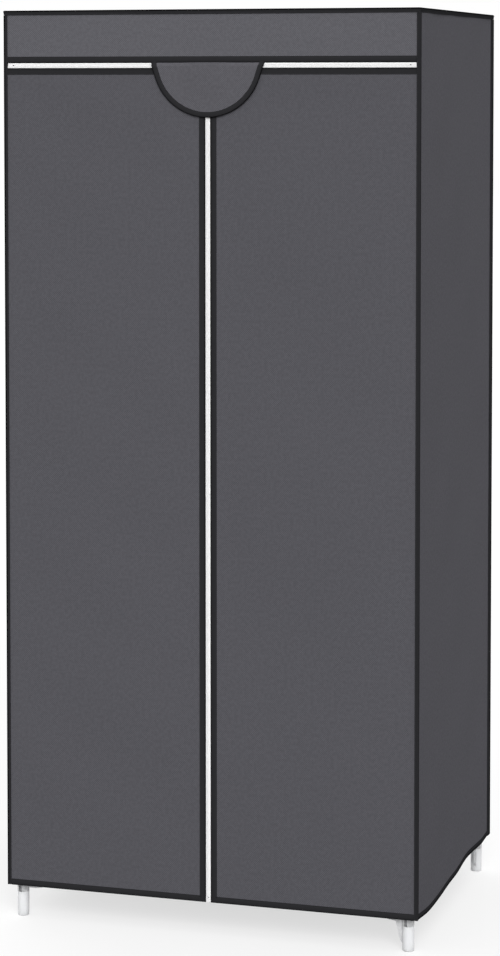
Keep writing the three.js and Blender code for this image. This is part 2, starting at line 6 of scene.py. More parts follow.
import bpy
import numpy as np
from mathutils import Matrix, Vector


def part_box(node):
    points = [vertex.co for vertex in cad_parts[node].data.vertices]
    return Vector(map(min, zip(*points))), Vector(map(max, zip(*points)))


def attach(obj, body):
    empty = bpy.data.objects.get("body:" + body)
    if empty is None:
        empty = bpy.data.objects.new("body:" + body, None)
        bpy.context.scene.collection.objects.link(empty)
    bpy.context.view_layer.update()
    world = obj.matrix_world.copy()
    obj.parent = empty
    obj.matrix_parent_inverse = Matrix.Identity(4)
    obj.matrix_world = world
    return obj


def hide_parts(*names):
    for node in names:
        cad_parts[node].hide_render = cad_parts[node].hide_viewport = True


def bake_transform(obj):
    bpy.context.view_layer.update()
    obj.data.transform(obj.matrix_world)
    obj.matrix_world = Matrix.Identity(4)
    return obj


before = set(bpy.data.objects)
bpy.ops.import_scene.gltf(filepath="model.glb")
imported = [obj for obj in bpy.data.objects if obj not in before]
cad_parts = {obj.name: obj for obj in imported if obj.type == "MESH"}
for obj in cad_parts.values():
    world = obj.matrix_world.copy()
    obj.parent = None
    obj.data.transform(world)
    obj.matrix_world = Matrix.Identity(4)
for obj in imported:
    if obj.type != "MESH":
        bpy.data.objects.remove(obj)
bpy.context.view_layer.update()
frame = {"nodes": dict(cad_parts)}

bl_info = {
    "name": "Fabric Wardrobe",
    "version": (1, 0, 0),
    "blender": (4, 5, 0),
    "location": "3D View > Sidebar > Wardrobe",
    "description": "Builds the cloth, tapes, zips and frame of a fabric wardrobe on its CAD frame",
    "category": "Object",
}

MM = 0.001
SIDES = (("left", -1), ("right", 1))
ENDS = (("front", -1), ("back", 1))
EDGES = ("front", "back", "left", "right")
X, Y, Z = np.eye(3)


def middle_of(node):
    low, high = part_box(node)
    return (low + high) / 2


def size_of(node):
    low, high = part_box(node)
    return high - low


# Places taken from the CAD nodes
FRONT_Y = middle_of("left_door_panel").y
BACK_Y = middle_of("back_panel").y
SIDE_X = middle_of("right_panel").x
TOP_Z = middle_of("top_panel").z
HINGE_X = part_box("right_door_panel")[1].x
HEM_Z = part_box("left_door_binding")[0].z
DOOR_TOP_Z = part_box("left_door_binding")[1].z
DOOR_EDGE_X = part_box("right_door_binding")[0].x
VALANCE_LOW_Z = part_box("valance_binding")[0].z
LEVEL_ZIP_Z = (DOOR_TOP_Z + VALANCE_LOW_Z) / 2


# Settings

def a_colour(name, default, description):
    return bpy.props.FloatVectorProperty(
        name=name, description=description, default=default, min=0, max=1, subtype="COLOR_GAMMA")


def a_length(name, default, low, high, description):
    """A length. Its default and limits are given in millimetres and kept in metres"""
    return bpy.props.FloatProperty(
        name=name, description=description, default=default * MM, min=low * MM, max=high * MM,
        unit="LENGTH", precision=5)


def a_strength(name, default, description):
    return bpy.props.FloatProperty(name=name, description=description, default=default, min=0)


class ClothSettings(bpy.types.PropertyGroup):
    """The cover's non-woven cloth"""
    door_colour: a_colour("Doors", (0.337, 0.335, 0.355), "Colour of the two doors")
    # Set a little darker than the doors: painted shade meant for the side faces, which take less
    # light
    side_colour: a_colour("Sides", (0.332, 0.329, 0.35), "Colour of all fixed plain sheets")
    valance_colour: a_colour("Valance", (0.373, 0.371, 0.391), "Colour of the strip over the doors")
    flap_colour: a_colour("Flap", (0.357, 0.354, 0.374), "Colour of the flap over the crossing")
    thickness: a_length("Thickness", 0.6, 0.2, 0.8, "Thickness of the cloth")
    step: a_length("Mesh step", 8, 3, 40, "Distance between the points of a sheet's mesh")
    swell: a_length("Swell", 1.2, -5, 5, "How far the middle of a sheet stands out")
    ripple: a_length("Ripple", 0.5, 0, 3, "Height of the broad waves in a sheet")
    pucker: a_length("Pucker", 0.2, 0, 1, "Height of the small gathers along the seams")
    bond_pitch: a_length("Bond pitch", 3.5, 0.5, 6, "Distance between two embossed points in a row")


class TapeSettings(bpy.types.PropertyGroup):
    """The tape folded over the cloth's edges and corners"""
    colour: a_colour("Tape", (0.175, 0.175, 0.183), "Colour of the tape's legs")
    # The fold's colour is partly the tape's own dark edge and partly painted shade
    fold_colour: a_colour("Fold", (0.06, 0.06, 0.065), "Colour of the tape along its outer fold")
    thickness: a_length("Thickness", 0.55, 0.2, 1, "Thickness of the tape")
    width: a_length("Width", 10.4, 4, 20, "Width of each leg of the folded tape")
    stitch_pitch: a_length("Stitch", 3.2, 1, 6, "Length of one stitch with its gap")
    stitch_inset: a_length("Stitch inset", 1.7, 0.5, 4, "From the tape's inner edge to its seam")


class ZipSettings(bpy.types.PropertyGroup):
    """The zips between the doors and under the valance"""
    colour: a_colour("Zip", (0.99, 0.988, 0.992), "Colour of the teeth and the tape behind them")
    pitch: a_length("Pitch", 1.8, 1, 4, "Distance between two teeth of one half")
    reach: a_length("Reach", 1.1, 0, 2, "How far a tooth passes the zip's middle line")


class FrameSettings(bpy.types.PropertyGroup):
    """The tube frame, its plastic connectors and the zip sliders"""
    tube_colour: a_colour("Tube", (0.46, 0.465, 0.48), "Colour of the steel tube")
    plastic_colour: a_colour("Plastic", (0.95, 0.955, 0.965), "Colour of the connectors")
    slider_colour: a_colour("Slider", (0.75, 0.755, 0.765), "Colour of the zip sliders")
    ribbon_colour: a_colour("Pull", (0.16, 0.16, 0.17), "Colour of the woven zip pulls")
    tube_wall: a_length("Tube wall", 0.5, 0.3, 1.5, "Thickness of the tube's wall")


class StudioSettings(bpy.types.PropertyGroup):
    """Camera, lamps and floor"""
    azimuth: bpy.props.FloatProperty(
        name="Azimuth", description="Direction of the camera round the wardrobe",
        default=math.radians(17.41), subtype="ANGLE")
    pitch: bpy.props.FloatProperty(
        name="Pitch", description="How far the camera looks down", default=math.radians(3.31),
        subtype="ANGLE")
    place: bpy.props.FloatVectorProperty(
        name="Place", description="Where the camera stands", subtype="TRANSLATION",
        default=(1.421, -4.564, 1.380))
    lens: bpy.props.FloatProperty(
        name="Lens", description="Focal length", default=106.7, unit="CAMERA")
    drop: bpy.props.FloatProperty(
        name="Drop", description="Vertical shift of the picture, in shares of its long side",
        default=-0.24, min=-0.5, max=0.5)
    key: a_strength("Key lamp", 1.84, "Strength of the main lamp")
    fill: a_strength("Fill lamp", 1.0, "Strength of the weak lamp behind")
    sky: a_strength("Sky", 0.7, "Strength of the even light from all round")
    floor: a_strength("Floor", 0.35, "Brightness of the floor's own colour")


class WardrobeSettings(bpy.types.PropertyGroup):
    """All the wardrobe's settings"""
    cloth: bpy.props.PointerProperty(type=ClothSettings)
    tape: bpy.props.PointerProperty(type=TapeSettings)
    zip: bpy.props.PointerProperty(type=ZipSettings)
    frame: bpy.props.PointerProperty(type=FrameSettings)
    studio: bpy.props.PointerProperty(type=StudioSettings)


def settings():
    return bpy.context.scene.wardrobe


# Shaders

def linear(colour, factor=1.0):
    """A screen colour as scene-linear numbers with full alpha, made lighter or darker"""
    bright = [c / 12.92 if c <= 0.04045 else ((c + 0.055) / 1.055) ** 2.4 for c in colour]
    return [min(1.0, c * factor) for c in bright] + [1.0]


class Link:
    """A node's output. Arithmetic on it adds Math nodes"""

    def __init__(self, shader, socket):
        self.shader = shader
        self.socket = socket

    def output(self, key):
        """Another output of the same node"""
        return Link(self.shader, self.socket.node.outputs[key])

    def __add__(self, other):
        return self.shader.maths("ADD", self, other)

    def __sub__(self, other):
        return self.shader.maths("SUBTRACT", self, other)

    def __rsub__(self, other):
        return self.shader.maths("SUBTRACT", other, self)

    def __mul__(self, other):
        return self.shader.maths("MULTIPLY", self, other)

    def __truediv__(self, other):
        return self.shader.maths("DIVIDE", self, other)

    def __abs__(self):
        return self.shader.maths("ABSOLUTE", self)

    __radd__, __rmul__ = __add__, __mul__


class Shader:
    """The nodes of a material or of the world while they are put together"""

    def __init__(self, owner):
        owner.use_nodes = True
        self.owner = owner
        self.tree = owner.node_tree
        self.tree.nodes.clear()

    def node(self, kind, options=None, inputs=None, output=0):
        """Adds a node: its options are set first, then the values or links of its sockets"""
        node = self.tree.nodes.new(kind)
        for key, value in (options or {}).items():
            setattr(node, key, value)
        for key, value in (inputs or {}).items():
            if isinstance(value, Link):
                self.tree.links.new(value.socket, node.inputs[key])
            else:
                node.inputs[key].default_value = value
        return Link(self, node.outputs[output]) if node.outputs else None

    def maths(self, operation, *values):
        return self.node("ShaderNodeMath", {"operation": operation}, dict(enumerate(values)))

    def from_middle(self, value):
        """How far a value is from the middle of its cell, in a row of cells one unit long"""
        return abs(self.maths("FRACT", value) - 0.5)

    def ramp(self, value, low, high):
        """0 at low, 1 at high, and smooth between them"""
        return self.node("ShaderNodeMapRange", {"interpolation_type": "SMOOTHSTEP"},
                         {0: value, 1: low, 2: high})

    def mix(self, factor, first, second):
        """Two colours mixed"""
        return self.node("ShaderNodeMix", {"data_type": "RGBA"}, {0: factor, 6: first, 7: second},
                         output=2)

    def tints(self, factor, colour, dark, light):
        """A colour between two of its tints"""
        return self.mix(factor, linear(colour, dark), linear(colour, light))

    def noise(self, places, scale, detail=2.0):
        return self.node("ShaderNodeTexNoise", {},
                         {"Vector": places, "Scale": scale, "Detail": detail})

    def parts(self, vector):
        """The three numbers of a vector"""
        first = self.node("ShaderNodeSeparateXYZ", {}, {0: vector})
        return first, first.output(1), first.output(2)

    def flat_places(self):
        """Places on the flat cloth, in metres: as a vector, along it and across it"""
        places = self.node("ShaderNodeUVMap", {"uv_map": "flat"})
        return places, *self.parts(places)[:2]

    def object_places(self):
        return self.node("ShaderNodeTexCoord", output=3)

    def seen(self):
        """1 for the rays of the camera, of mirror images and of views through plastic"""
        path = seen = self.node("ShaderNodeLightPath")
        for kind in ("Is Glossy Ray", "Is Transmission Ray"):
            seen = self.maths("MAXIMUM", seen, path.output(kind))
        return seen

    def surface(self, base, roughness, bump, **constants):
        """Ends a material in one surface and returns it. bump is height, depth and strength"""
        height, depth, strength = bump
        normal = self.node("ShaderNodeBump", {},
                           {"Height": height, "Distance": depth, "Strength": strength})
        shader = self.node("ShaderNodeBsdfPrincipled", {}, {
            "Base Color": base, "Roughness": roughness, "Normal": normal,
            **{name.replace("_", " "): value for name, value in constants.items()}})
        self.node("ShaderNodeOutputMaterial", {}, {"Surface": shader})
        return self.owner


def new_material(name):
    return Shader(bpy.data.materials.new(name))


@functools.cache
def cloth_finish(kind):
    """Spun-bonded cloth: an embossed lattice of bond points in a mat of fine threads"""
    cloth, shader = settings().cloth, new_material(f"{kind}_cloth")
    places, along, across = shader.flat_places()
    rising = shader.from_middle((along + across) / cloth.bond_pitch)
    falling = shader.from_middle((along - across) / cloth.bond_pitch)
    bond = shader.ramp(shader.maths("MAXIMUM", rising, falling), 0.36, 0.44)
    clouds = shader.noise(places, 180.0, 3.0)
    broad = shader.noise(places, 9.0)
    threads = shader.noise(places, 2600.0)
    tone = bond * 0.6 + shader.ramp(clouds, 0.3, 0.7) * 0.2 + broad * 0.06 + threads * 0.14
    base = shader.tints(tone, getattr(cloth, f"{kind}_colour"), 1.26, 0.64)
    height = (1 - bond) * 0.7 + threads * 0.3 + clouds * 0.3
    return shader.surface(base, 0.95 - bond * 0.1, (height, 0.12 * MM, 0.6),
                          Specular_IOR_Level=0.06)


@functools.cache
def tape_finish():
    """Dark edge tape with fine ribs, a row of stitches, and a darker outer fold, which is partly
    painted shade
    """
    tape, shader = settings().tape, new_material("edge_tape")
    places, along, across = shader.flat_places()
    fold = shader.node("ShaderNodeAttribute", {"attribute_name": "fold"}, output=2)
    threads = shader.noise(places, 1800.0)
    blotches = shader.noise(places, 120.0, 3.0)
    ribs = shader.ramp(shader.from_middle(along / (0.7 * MM)), 0.1, 0.4)
    off_seam = abs(across - tape.stitch_inset)
    in_stitch = shader.ramp(shader.from_middle(along / tape.stitch_pitch), 0.42, 0.36)
    stitch = shader.ramp(off_seam, 0.38 * MM, 0.26 * MM) * in_stitch
    groove = shader.ramp(off_seam, 0.9 * MM, 0.3 * MM) * (1 - stitch)
    plain = shader.tints(threads * 0.35 + blotches * 0.4 + ribs * 0.25, tape.colour, 0.84, 1.18)
    # Painted shade, in part: the tape darkens towards its outer fold
    shaded_fold = shader.mix(fold, plain, linear(tape.fold_colour))
    base = shader.mix(stitch, shaded_fold, linear(tape.colour, 1.5))
    height = ribs * 0.35 + threads * 0.4 + stitch * 1.6 - groove * 0.6
    return shader.surface(base, 0.86 - fold * 0.25 - stitch * 0.2, (height, 0.12 * MM, 0.7),
                          Specular_IOR_Level=0.0)


@functools.cache
def zip_tape_finish():
    """White woven tape in a fine herringbone"""
    shader, band = new_material("zip_tape"), 2.4 * MM
    places, along, across = shader.flat_places()
    bands = shader.from_middle(across / band)
    weave = shader.from_middle((along + bands * band) / (0.8 * MM))
    threads = shader.noise(places, 2000.0)
    tone = shader.ramp(weave, 0.15, 0.4) * 0.6 + threads * 0.4
    base = shader.tints(tone, settings().zip.colour, 0.9, 1.0)
    return shader.surface(base, 0.8 - threads * 0.1, (tone, 0.1 * MM, 0.6))


@functools.cache
def teeth_finish():
    """White nylon teeth"""
    shader = new_material("zip_teeth")
    grain = shader.noise(shader.object_places(), 900.0)
    base = shader.tints(grain, settings().zip.colour, 0.96, 1.04)
    return shader.surface(base, 0.34 + grain * 0.12, (grain, 0.03 * MM, 0.4),
                          Specular_IOR_Level=0.5)


@functools.cache
def tube_finish():
    """Zinc-coated steel tube with drawing lines and a spangled coat"""
    shader = new_material("steel_tube")
    places = shader.object_places()
    spangle = shader.noise(places, 220.0, 3.0)
    scuffs = shader.noise(places, 35.0, 4.0)
    base = shader.tints(spangle * 0.6 + scuffs * 0.4, settings().frame.tube_colour, 0.82, 1.16)
    roughness = 0.28 + shader.ramp(scuffs, 0.35, 0.75) * 0.2
    return shader.surface(base, roughness, (spangle, 0.04 * MM, 0.3), Metallic=0.35)


@functools.cache
def plastic_finish():
    """Milky moulded plastic, clearer round the post: the tube inside it shows well in a narrow strip
    on one side and faintly beside it. The narrow strip is painted shade: it shows the tube as a dark
    bar on that side"""
    shader, turn = new_material("milky_plastic"), math.radians(17)
    post = middle_of("lower_post_back_right")
    places = shader.object_places()
    orange_peel = shader.noise(places, 420.0)
    flow = shader.noise(places, 30.0, 3.0)
    base = shader.tints(flow, settings().frame.plastic_colour, 0.97, 1.03)
    x, y, z = shader.parts(places)
    aside, behind = (value - shader.maths("SIGN", value) * place
                     for value, place in ((x, post.x), (y, post.y)))
    off_post = shader.maths("SQRT", aside * aside + behind * behind)
    on_post = shader.ramp(off_post, SOCKET_RADIUS + 0.6 * MM, SOCKET_RADIUS + 0.1 * MM)
    # across runs across the camera's line of sight: turn is about the camera's azimuth
    across = aside * math.cos(turn) + behind * math.sin(turn)
    over_tube = shader.ramp(abs(across - 0.4 * MM), 6.6 * MM, 5.6 * MM)
    # Painted shade: the clearest strip, left of the tube as the camera sees it, shows the tube as a
    # dark bar
    strip = shader.ramp(abs(across + 3 * MM), 2.6 * MM, 1.9 * MM)
    sheer = shader.ramp(z, 39.5 * MM, 41 * MM) * on_post
    alpha = 1 - sheer * (0.18 + over_tube * 0.22 + strip * 0.45)
    return shader.surface(
        base, 0.16 + flow * 0.12, (orange_peel, 0.05 * MM, 0.35), Alpha=alpha, IOR=1.46,
        Subsurface_Weight=0.7, Subsurface_Radius=(1.0, 1.0, 1.0), Subsurface_Scale=12 * MM)


@functools.cache
def slider_finish():
    """Satin plated casting"""
    shader = new_material("plated_slider")
    grain = shader.noise(shader.object_places(), 700.0, 3.0)
    base = shader.tints(grain, settings().frame.slider_colour, 0.88, 1.1)
    return shader.surface(base, 0.3 + grain * 0.15, (grain, 0.02 * MM, 0.4), Metallic=0.95)


@functools.cache
def ribbon_finish():
    """Black ribbed ribbon"""
    shader = new_material("pull_ribbon")
    places, along, _ = shader.flat_places()
    ribs = shader.ramp(shader.from_middle(along / (0.9 * MM)), 0.05, 0.45)
    threads = shader.noise(places, 2400.0)
    base = shader.tints(ribs * 0.6 + threads * 0.4, settings().frame.ribbon_colour, 0.7, 1.3)
    return shader.surface(base, 0.8 - ribs * 0.15, (ribs, 0.12 * MM, 0.8))


# Meshes

def add_object(name, data):
    thing = bpy.data.objects.new(name, data)
    bpy.context.scene.collection.objects.link(thing)
    return thing


def make_piece(name, points, faces, material, flat=None, fold=None, sharp=35):
    """A mesh object. flat: each point's place on the flat cloth. fold: how near it is to a fold"""
    mesh = bpy.data.meshes.new(name)
    mesh.from_pydata(np.asarray(points).tolist(), [], faces)
    if flat is not None:
        corner = np.empty(len(mesh.loops), int)
        mesh.loops.foreach_get("vertex_index", corner)
        layer = mesh.uv_layers.new(name="flat")
        layer.data.foreach_set("uv", np.asarray(flat)[corner].astype(np.float32).ravel())
    if fold is not None:
        values = mesh.attributes.new("fold", "FLOAT", "POINT")
        values.data.foreach_set("value", np.asarray(fold, np.float32))
    mesh.shade_smooth()
    mesh.set_sharp_from_angle(angle=math.radians(sharp))
    mesh.materials.append(material)
    return add_object(name, mesh)


def stands_for(piece, body, node):
    """Puts a piece on its body, in the place of a CAD node"""
    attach(piece, body)
    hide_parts(node)
    return piece


def hang(piece, body, start, end, slot, node):
    """Bakes a piece's place into its mesh and hides the CAD node it stands for. body, start and end
    are not used
    """
    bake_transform(piece)
    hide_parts(node)


def ring_faces(rings, around, closed=False):
    """Faces between rings of points that follow each other. Either the last ring joins the first
    or a flat face ends each side"""
    index = np.arange(rings * around).reshape(rings, around)
    here = index if closed else index[:-1]
    ahead = np.roll(index, -1, axis=0)[:len(here)]
    faces = np.stack([here, np.roll(here, -1, axis=1), np.roll(ahead, -1, axis=1), ahead], axis=2)
    ends = [] if closed else [index[0][::-1].tolist(), index[-1].tolist()]
    return faces.reshape(-1, 4).tolist() + ends


def closed_sheet(name, grid, flat, material, keep=None):
    """A closed sheet round a grid of points. Its outer face is on the side of across x up"""
    normal = np.cross(np.gradient(grid, axis=0), np.gradient(grid, axis=1))
    # Points that keep leaves out may have no normal
    size = np.maximum(np.linalg.norm(normal, axis=2, keepdims=True), 1e-12)
    normal *= settings().cloth.thickness / 2 / size
    rows, columns = grid.shape[:2]
    index = np.arange(rows * columns).reshape(rows, columns)
    cells = np.stack([index[:-1, :-1], index[1:, :-1], index[1:, 1:], index[:-1, 1:]], axis=2)
    cells = cells.reshape(-1, 4) if keep is None else cells[keep]
    used, cells = np.unique(cells, return_inverse=True)
    cells = cells.reshape(-1, 4)
    middle, normal = grid.reshape(-1, 3)[used], normal.reshape(-1, 3)[used]
    count = len(used)
    edges = {(a, b) for cell in cells.tolist() for a, b in zip(cell, cell[1:] + cell[:1])}
    rim = [(b, a, a + count, b + count) for a, b in sorted(edges) if (b, a) not in edges]
    faces = cells.tolist() + (cells[:, ::-1] + count).tolist() + rim
    points = np.concatenate([middle + normal, middle - normal])
    return make_piece(name, points, faces, material, np.tile(flat.reshape(-1, 2)[used], (2, 1)))


def sweep(name, path, inward, sideways, section, material, closed=False):
    """A strip whose section follows a path. Rows of the section: distance inwards, distance
    sideways, distance from the strip's inner edge, nearness to its fold"""
    path, section = np.asarray(path, float), np.asarray(section, float)
    inward, sideways = (np.broadcast_to(part, path.shape)[:, None] for part in (inward, sideways))
    points = path[:, None] + inward * section[:, :1] + sideways * section[:, 1:2]
    gaps = np.linalg.norm(np.diff(path, axis=0), axis=1)
    along = np.concatenate([[0], np.cumsum(gaps)])
    flat = np.stack(np.broadcast_arrays(along[:, None], section[:, 2]), axis=2)
    return make_piece(name, points.reshape(-1, 3), ring_faces(len(path), len(section), closed),
                      material, flat.reshape(-1, 2), np.tile(section[:, 3], len(path)))


def spaced(start, stop, step, fine_near=(), fine=0.6 * MM, reach=9 * MM):
    """Numbers from start to stop about a step apart, and closer within reach of some places"""
    low, high = min(start, stop), max(start, stop)
    values = set(np.linspace(low, high, max(2, round((high - low) / step) + 1)))
    for place in fine_near:
        near = np.arange(place - reach, place + reach, fine)
        values = {v for v in values if abs(v - place) > reach} | set(near) | {low, high}
    ordered = np.array(sorted(v for v in values if low <= v <= high))
    keep = np.concatenate([[True], np.diff(ordered) > fine / 2])
    keep[-1] = True
    ordered = ordered[keep]
    return ordered if stop > start else ordered[::-1]


def smooth(value):
    """0 below 0, 1 above 1, and smooth between them"""
    value = np.clip(value, 0, 1)
    return value * value * (3 - 2 * value)


# Cover sheets

# A door bends in a narrow seam by its hinge, and its sheet ends under the corner strip. The seam's
# cloth is stretched when the door is open, so its pattern is set closer by this share
DOOR_SEAM = 6 * MM
DOOR_TUCK = 3 * MM
SEAM_EASE = 0.6

# A sheet is flat at its seams. Away from them it begins to swell and its gathers fade
FLAT_NEAR_SEAM = 12 * MM
SWELL_REACH = 60 * MM
GATHER_REACH = 28 * MM

# Shortest and longest of a sheet's broad waves and of its gathers
WAVE_COUNT = 5
WAVE_LENGTHS = (0.16, 0.5)
GATHER_LENGTHS = (0.05, 0.07)

# The hem is drawn up near the back corners, and its waves die away upwards
HEM_LIFT = 7 * MM
HEM_LIFT_REACH = 70 * MM
HEM_WAVE = 0.7 * MM
HEM_WAVE_REACH = 110 * MM

# The bottom is cut out round the feet. It sags with a slight wave, less near the rails
BOTTOM_INSET = 45 * MM
BOTTOM_SAG = 3 * MM
BOTTOM_WAVE = 0.5 * MM
SAG_REACH_X = 160 * MM
SAG_REACH_Y = 140 * MM


def relief(u, v, width, height, seed):
    """How far a sewn sheet stands out: a swell, a few broad waves, and gathers at its seams"""
    cloth = settings().cloth
    margin = settings().tape.width
    rng = np.random.default_rng(seed)
    to_side = np.minimum(u, width - u) - margin
    to_end = np.minimum(v, height - v) - margin
    inside = smooth(np.minimum(to_side, to_end) / SWELL_REACH + 0.05)
    shape = cloth.swell * np.sin(np.pi * u / width) * np.sin(np.pi * v / height)
    for _ in range(WAVE_COUNT):
        angle, wave = rng.uniform(0, np.pi), rng.uniform(*WAVE_LENGTHS)
        phase = rng.uniform(0, 6.28)
        shape = shape + cloth.ripple * np.sin(
            (u * np.cos(angle) + v * np.sin(angle)) * 2 * np.pi / wave + phase)
    gathers = 0
    for distance, along in ((to_side, v), (to_end, u)):
        wave, phase = rng.uniform(*GATHER_LENGTHS), rng.uniform(0, 6.28)
        gather = np.sin(along * 2 * np.pi / wave + phase + 1.3 * np.sin(along * 23))
        near = np.exp(-np.maximum(distance, 0) / GATHER_REACH) * smooth(distance / FLAT_NEAR_SEAM)
        gathers = gathers + cloth.pucker * gather * near
    return shape * inside + gathers


def panel(name, origin, across, up, size, kind, seed, low=None, flutter=None, seam=None):
    """A rectangular sheet that may have an uneven lower edge, a fluttering hem and a seam to
    bend in, given as the places where it starts and ends"""
    (width, height), step = size, settings().cloth.step
    u = spaced(0, width, step, () if seam is None else seam[:1])
    share = np.linspace(0, 1, round(height / step) + 1)
    start = np.zeros_like(u) if low is None else low(u)
    v = start[:, None] + (height - start)[:, None] * share
    u = np.broadcast_to(u[:, None], v.shape)
    above = v - start[:, None]
    out = relief(u, above, width, height, seed)
    if flutter is not None:
        out = out + flutter(u, above)
    grid = (np.asarray(origin) + u[..., None] * across + v[..., None] * up
            + out[..., None] * np.cross(across, up))
    eased = u if seam is None else u + SEAM_EASE * np.clip(u, min(seam), max(seam))
    return closed_sheet(name, grid, np.stack([eased, v], axis=2), cloth_finish(kind))


def hem_curve():
    """The lower edge of the side sheets, read off the CAD sheet: places along Y and heights"""
    low = {}
    for vertex in frame["nodes"]["right_panel"].data.vertices:
        if vertex.co.z < 0.2:
            low[round(vertex.co.y, 5)] = vertex.co.z
    places = np.array(sorted(low))
    fine = np.linspace(places[0], places[-1], 161)
    rough = np.interp(fine, places, [low[y] for y in places])
    kernel = np.hanning(13)
    padded = np.pad(rough, 6, mode="edge")
    return fine, np.convolve(padded, kernel / kernel.sum(), mode="valid")


HEM_PLACES, HEM_HEIGHTS = hem_curve()


def hem_lift(to_corner):
    """How far the hem is drawn up near a back corner"""
    return HEM_LIFT * smooth(1 - to_corner / HEM_LIFT_REACH)


def hem_height(y):
    return np.interp(y, HEM_PLACES, HEM_HEIGHTS) + hem_lift(BACK_Y - y)


def hem_flutter(share, above=0):
    """How far a hanging hem waves in and out, dying away upwards"""
    wave = np.sin(share * 15.0 + 0.7) + 0.6 * np.sin(share * 27.0)
    return HEM_WAVE * wave * np.sin(np.pi * np.clip(share, 0, 1)) * np.exp(-above / HEM_WAVE_REACH)


def flat_size(node):
    """The two measures of a flat CAD sheet, without its thickness"""
    size = [high - low for low, high in zip(*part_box(node))]
    size.remove(min(size))
    return tuple(size)


def make_cover():
    """Top, back, sides and valance"""
    made = {}
    low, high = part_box("left_panel")
    depth = high.y - low.y
    for name, side in SIDES:
        start = low.y if side > 0 else high.y
        made[name] = panel(
            f"side_cloth_{name}", side * SIDE_X * X + start * Y, side * Y, Z, (depth, high.z),
            "side", seed=11 + side, low=lambda u: hem_height(start + side * u),
            flutter=lambda u, above: hem_flutter(u / depth, above))
    low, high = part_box("back_panel")
    width, height = flat_size("back_panel")
    made["back"] = panel(
        "back_cloth", (high.x, BACK_Y, low.z), -X, Z, (width, height), "side", seed=31,
        low=lambda u: hem_lift(np.minimum(u, width - u)),
        flutter=lambda u, above: hem_flutter(u / width, above))
    low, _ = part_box("top_panel")
    made["top"] = panel("top_cloth", (low.x, low.y, TOP_Z), X, Y, flat_size("top_panel"), "side",
                        seed=41)
    low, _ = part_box("valance_panel")
    made["valance"] = panel("valance_cloth", (low.x, FRONT_Y, low.z), X, Z,
                            flat_size("valance_panel"), "valance", seed=51)
    for name, piece in made.items():
        stands_for(piece, "frame", f"{name}_panel")
    return made


def make_bottom():
    """The bottom sheet: it sags between the rails and is folded down over them"""
    cloth = settings().cloth
    low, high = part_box("bottom_shelf")
    bend = size_of("bottom_rail_right").x / 2 + cloth.thickness
    inset, drop, quarter = BOTTOM_INSET, high.z - low.z, bend * np.pi / 2
    axis_x, axis_y = high.x - bend, (high.y - low.y) / 2 - bend
    reach = quarter + max(0, drop - bend)

    def folded(s, limit):
        """Where a place on the flat sheet comes to lie: outwards and down"""
        past = np.maximum(np.abs(s) - limit, 0)
        angle = np.minimum(past / bend, np.pi / 2)
        out = np.minimum(np.abs(s), limit) + bend * np.sin(angle)
        return np.sign(s) * out, bend * (1 - np.cos(angle)) + np.maximum(past - quarter, 0)

    def places(limit):
        clear = limit - inset
        edge = spaced(limit - 2 * MM, limit + reach, 1.5 * MM)
        inner = spaced(0, limit - 4 * MM, 2.5 * cloth.step, fine_near=(clear,), fine=3 * MM)
        half = np.unique(np.concatenate([inner, [clear], edge]))
        return np.concatenate([-half[:0:-1], half])

    s, t = np.meshgrid(places(axis_x), places(axis_y), indexing="ij")
    x, drop_x = folded(s, axis_x)
    y, drop_y = folded(t, axis_y)
    inside = (smooth((axis_x - np.abs(s)) / SAG_REACH_X)
              * smooth((axis_y - np.abs(t)) / SAG_REACH_Y))
    wave = BOTTOM_WAVE * np.sin(s * 21 + 1) * np.sin(t * 17)
    z = high.z - cloth.thickness / 2 - drop_x - drop_y - (BOTTOM_SAG + wave) * inside
    grid = np.stack([x, y + (high.y + low.y) / 2, z], axis=2)
    centre_s, centre_t = ((part[:-1, :-1] + part[1:, 1:]) / 2 for part in (s, t))
    keep = (np.abs(centre_s) < axis_x - inset) | (np.abs(centre_t) < axis_y - inset)
    piece = closed_sheet("bottom_cloth", grid, np.stack([s, t], axis=2), cloth_finish("side"),
                         keep)
    stands_for(piece, "frame", "bottom_shelf")
    width, depth = 2 * (axis_x + reach), 2 * (axis_y + reach)
    width * depth - 4 * (reach + inset) ** 2


# Tapes

# Distance between the points of a tape, of one that waves, and of a straight padded strip
TAPE_STEP = 8 * MM
WAVY_TAPE_STEP = 6 * MM
STRIP_STEP = 25 * MM

# A strip's fold is dark this far from the corner: partly painted shade
STRIP_DARK = 1.2 * MM


def near_fold(distance):
    """1 at a tape's fold, 0 from 2 mm off: where the fold's dark colour, partly painted shade, lies
    """
    return 1 - float(smooth((distance - 0.8 * MM) / (1.2 * MM)))


def folded_section(width, shaded_fold=0.0, slack=0.05 * MM):
    """The outline of a tape folded over an edge, with a dark fold, partly painted shade, that
    reaches shaded_fold further
    """
    tape = settings().tape
    skin, inset = tape.thickness, tape.stitch_inset
    core = settings().cloth.thickness / 2 + slack
    leg = [
        (width, core), (width, core + 0.6 * skin), (width - 0.3 * MM, core + 1.25 * skin),
        (width - inset + 0.5 * MM, core + 1.15 * skin), (width - inset, core + 0.8 * skin),
        (width - inset - 0.5 * MM, core + 1.12 * skin), (width / 2, core + skin),
        (1.6 * MM, core + skin), (0.6 * MM, core + 0.8 * skin), (0.15 * MM, core * 0.9),
    ]
    outside = [(a, b, width - a, near_fold(a - shaded_fold)) for a, b in leg]
    other = [(a, -b, v, fold) for a, b, v, fold in reversed(outside)]
    return outside + [(0, 0, width, 1)] + other + [(skin, -core, width, 0), (skin, core, width, 0)]


def divided(section, step):
    """A section with more points, so that no two are further apart than a step"""
    made = []
    for here, after in zip(section, section[1:] + section[:1]):
        count = math.ceil(math.dist(here[:2], after[:2]) / step)
        made += [tuple(a + (b - a) * k / count for a, b in zip(here, after)) for k in range(count)]
    return made


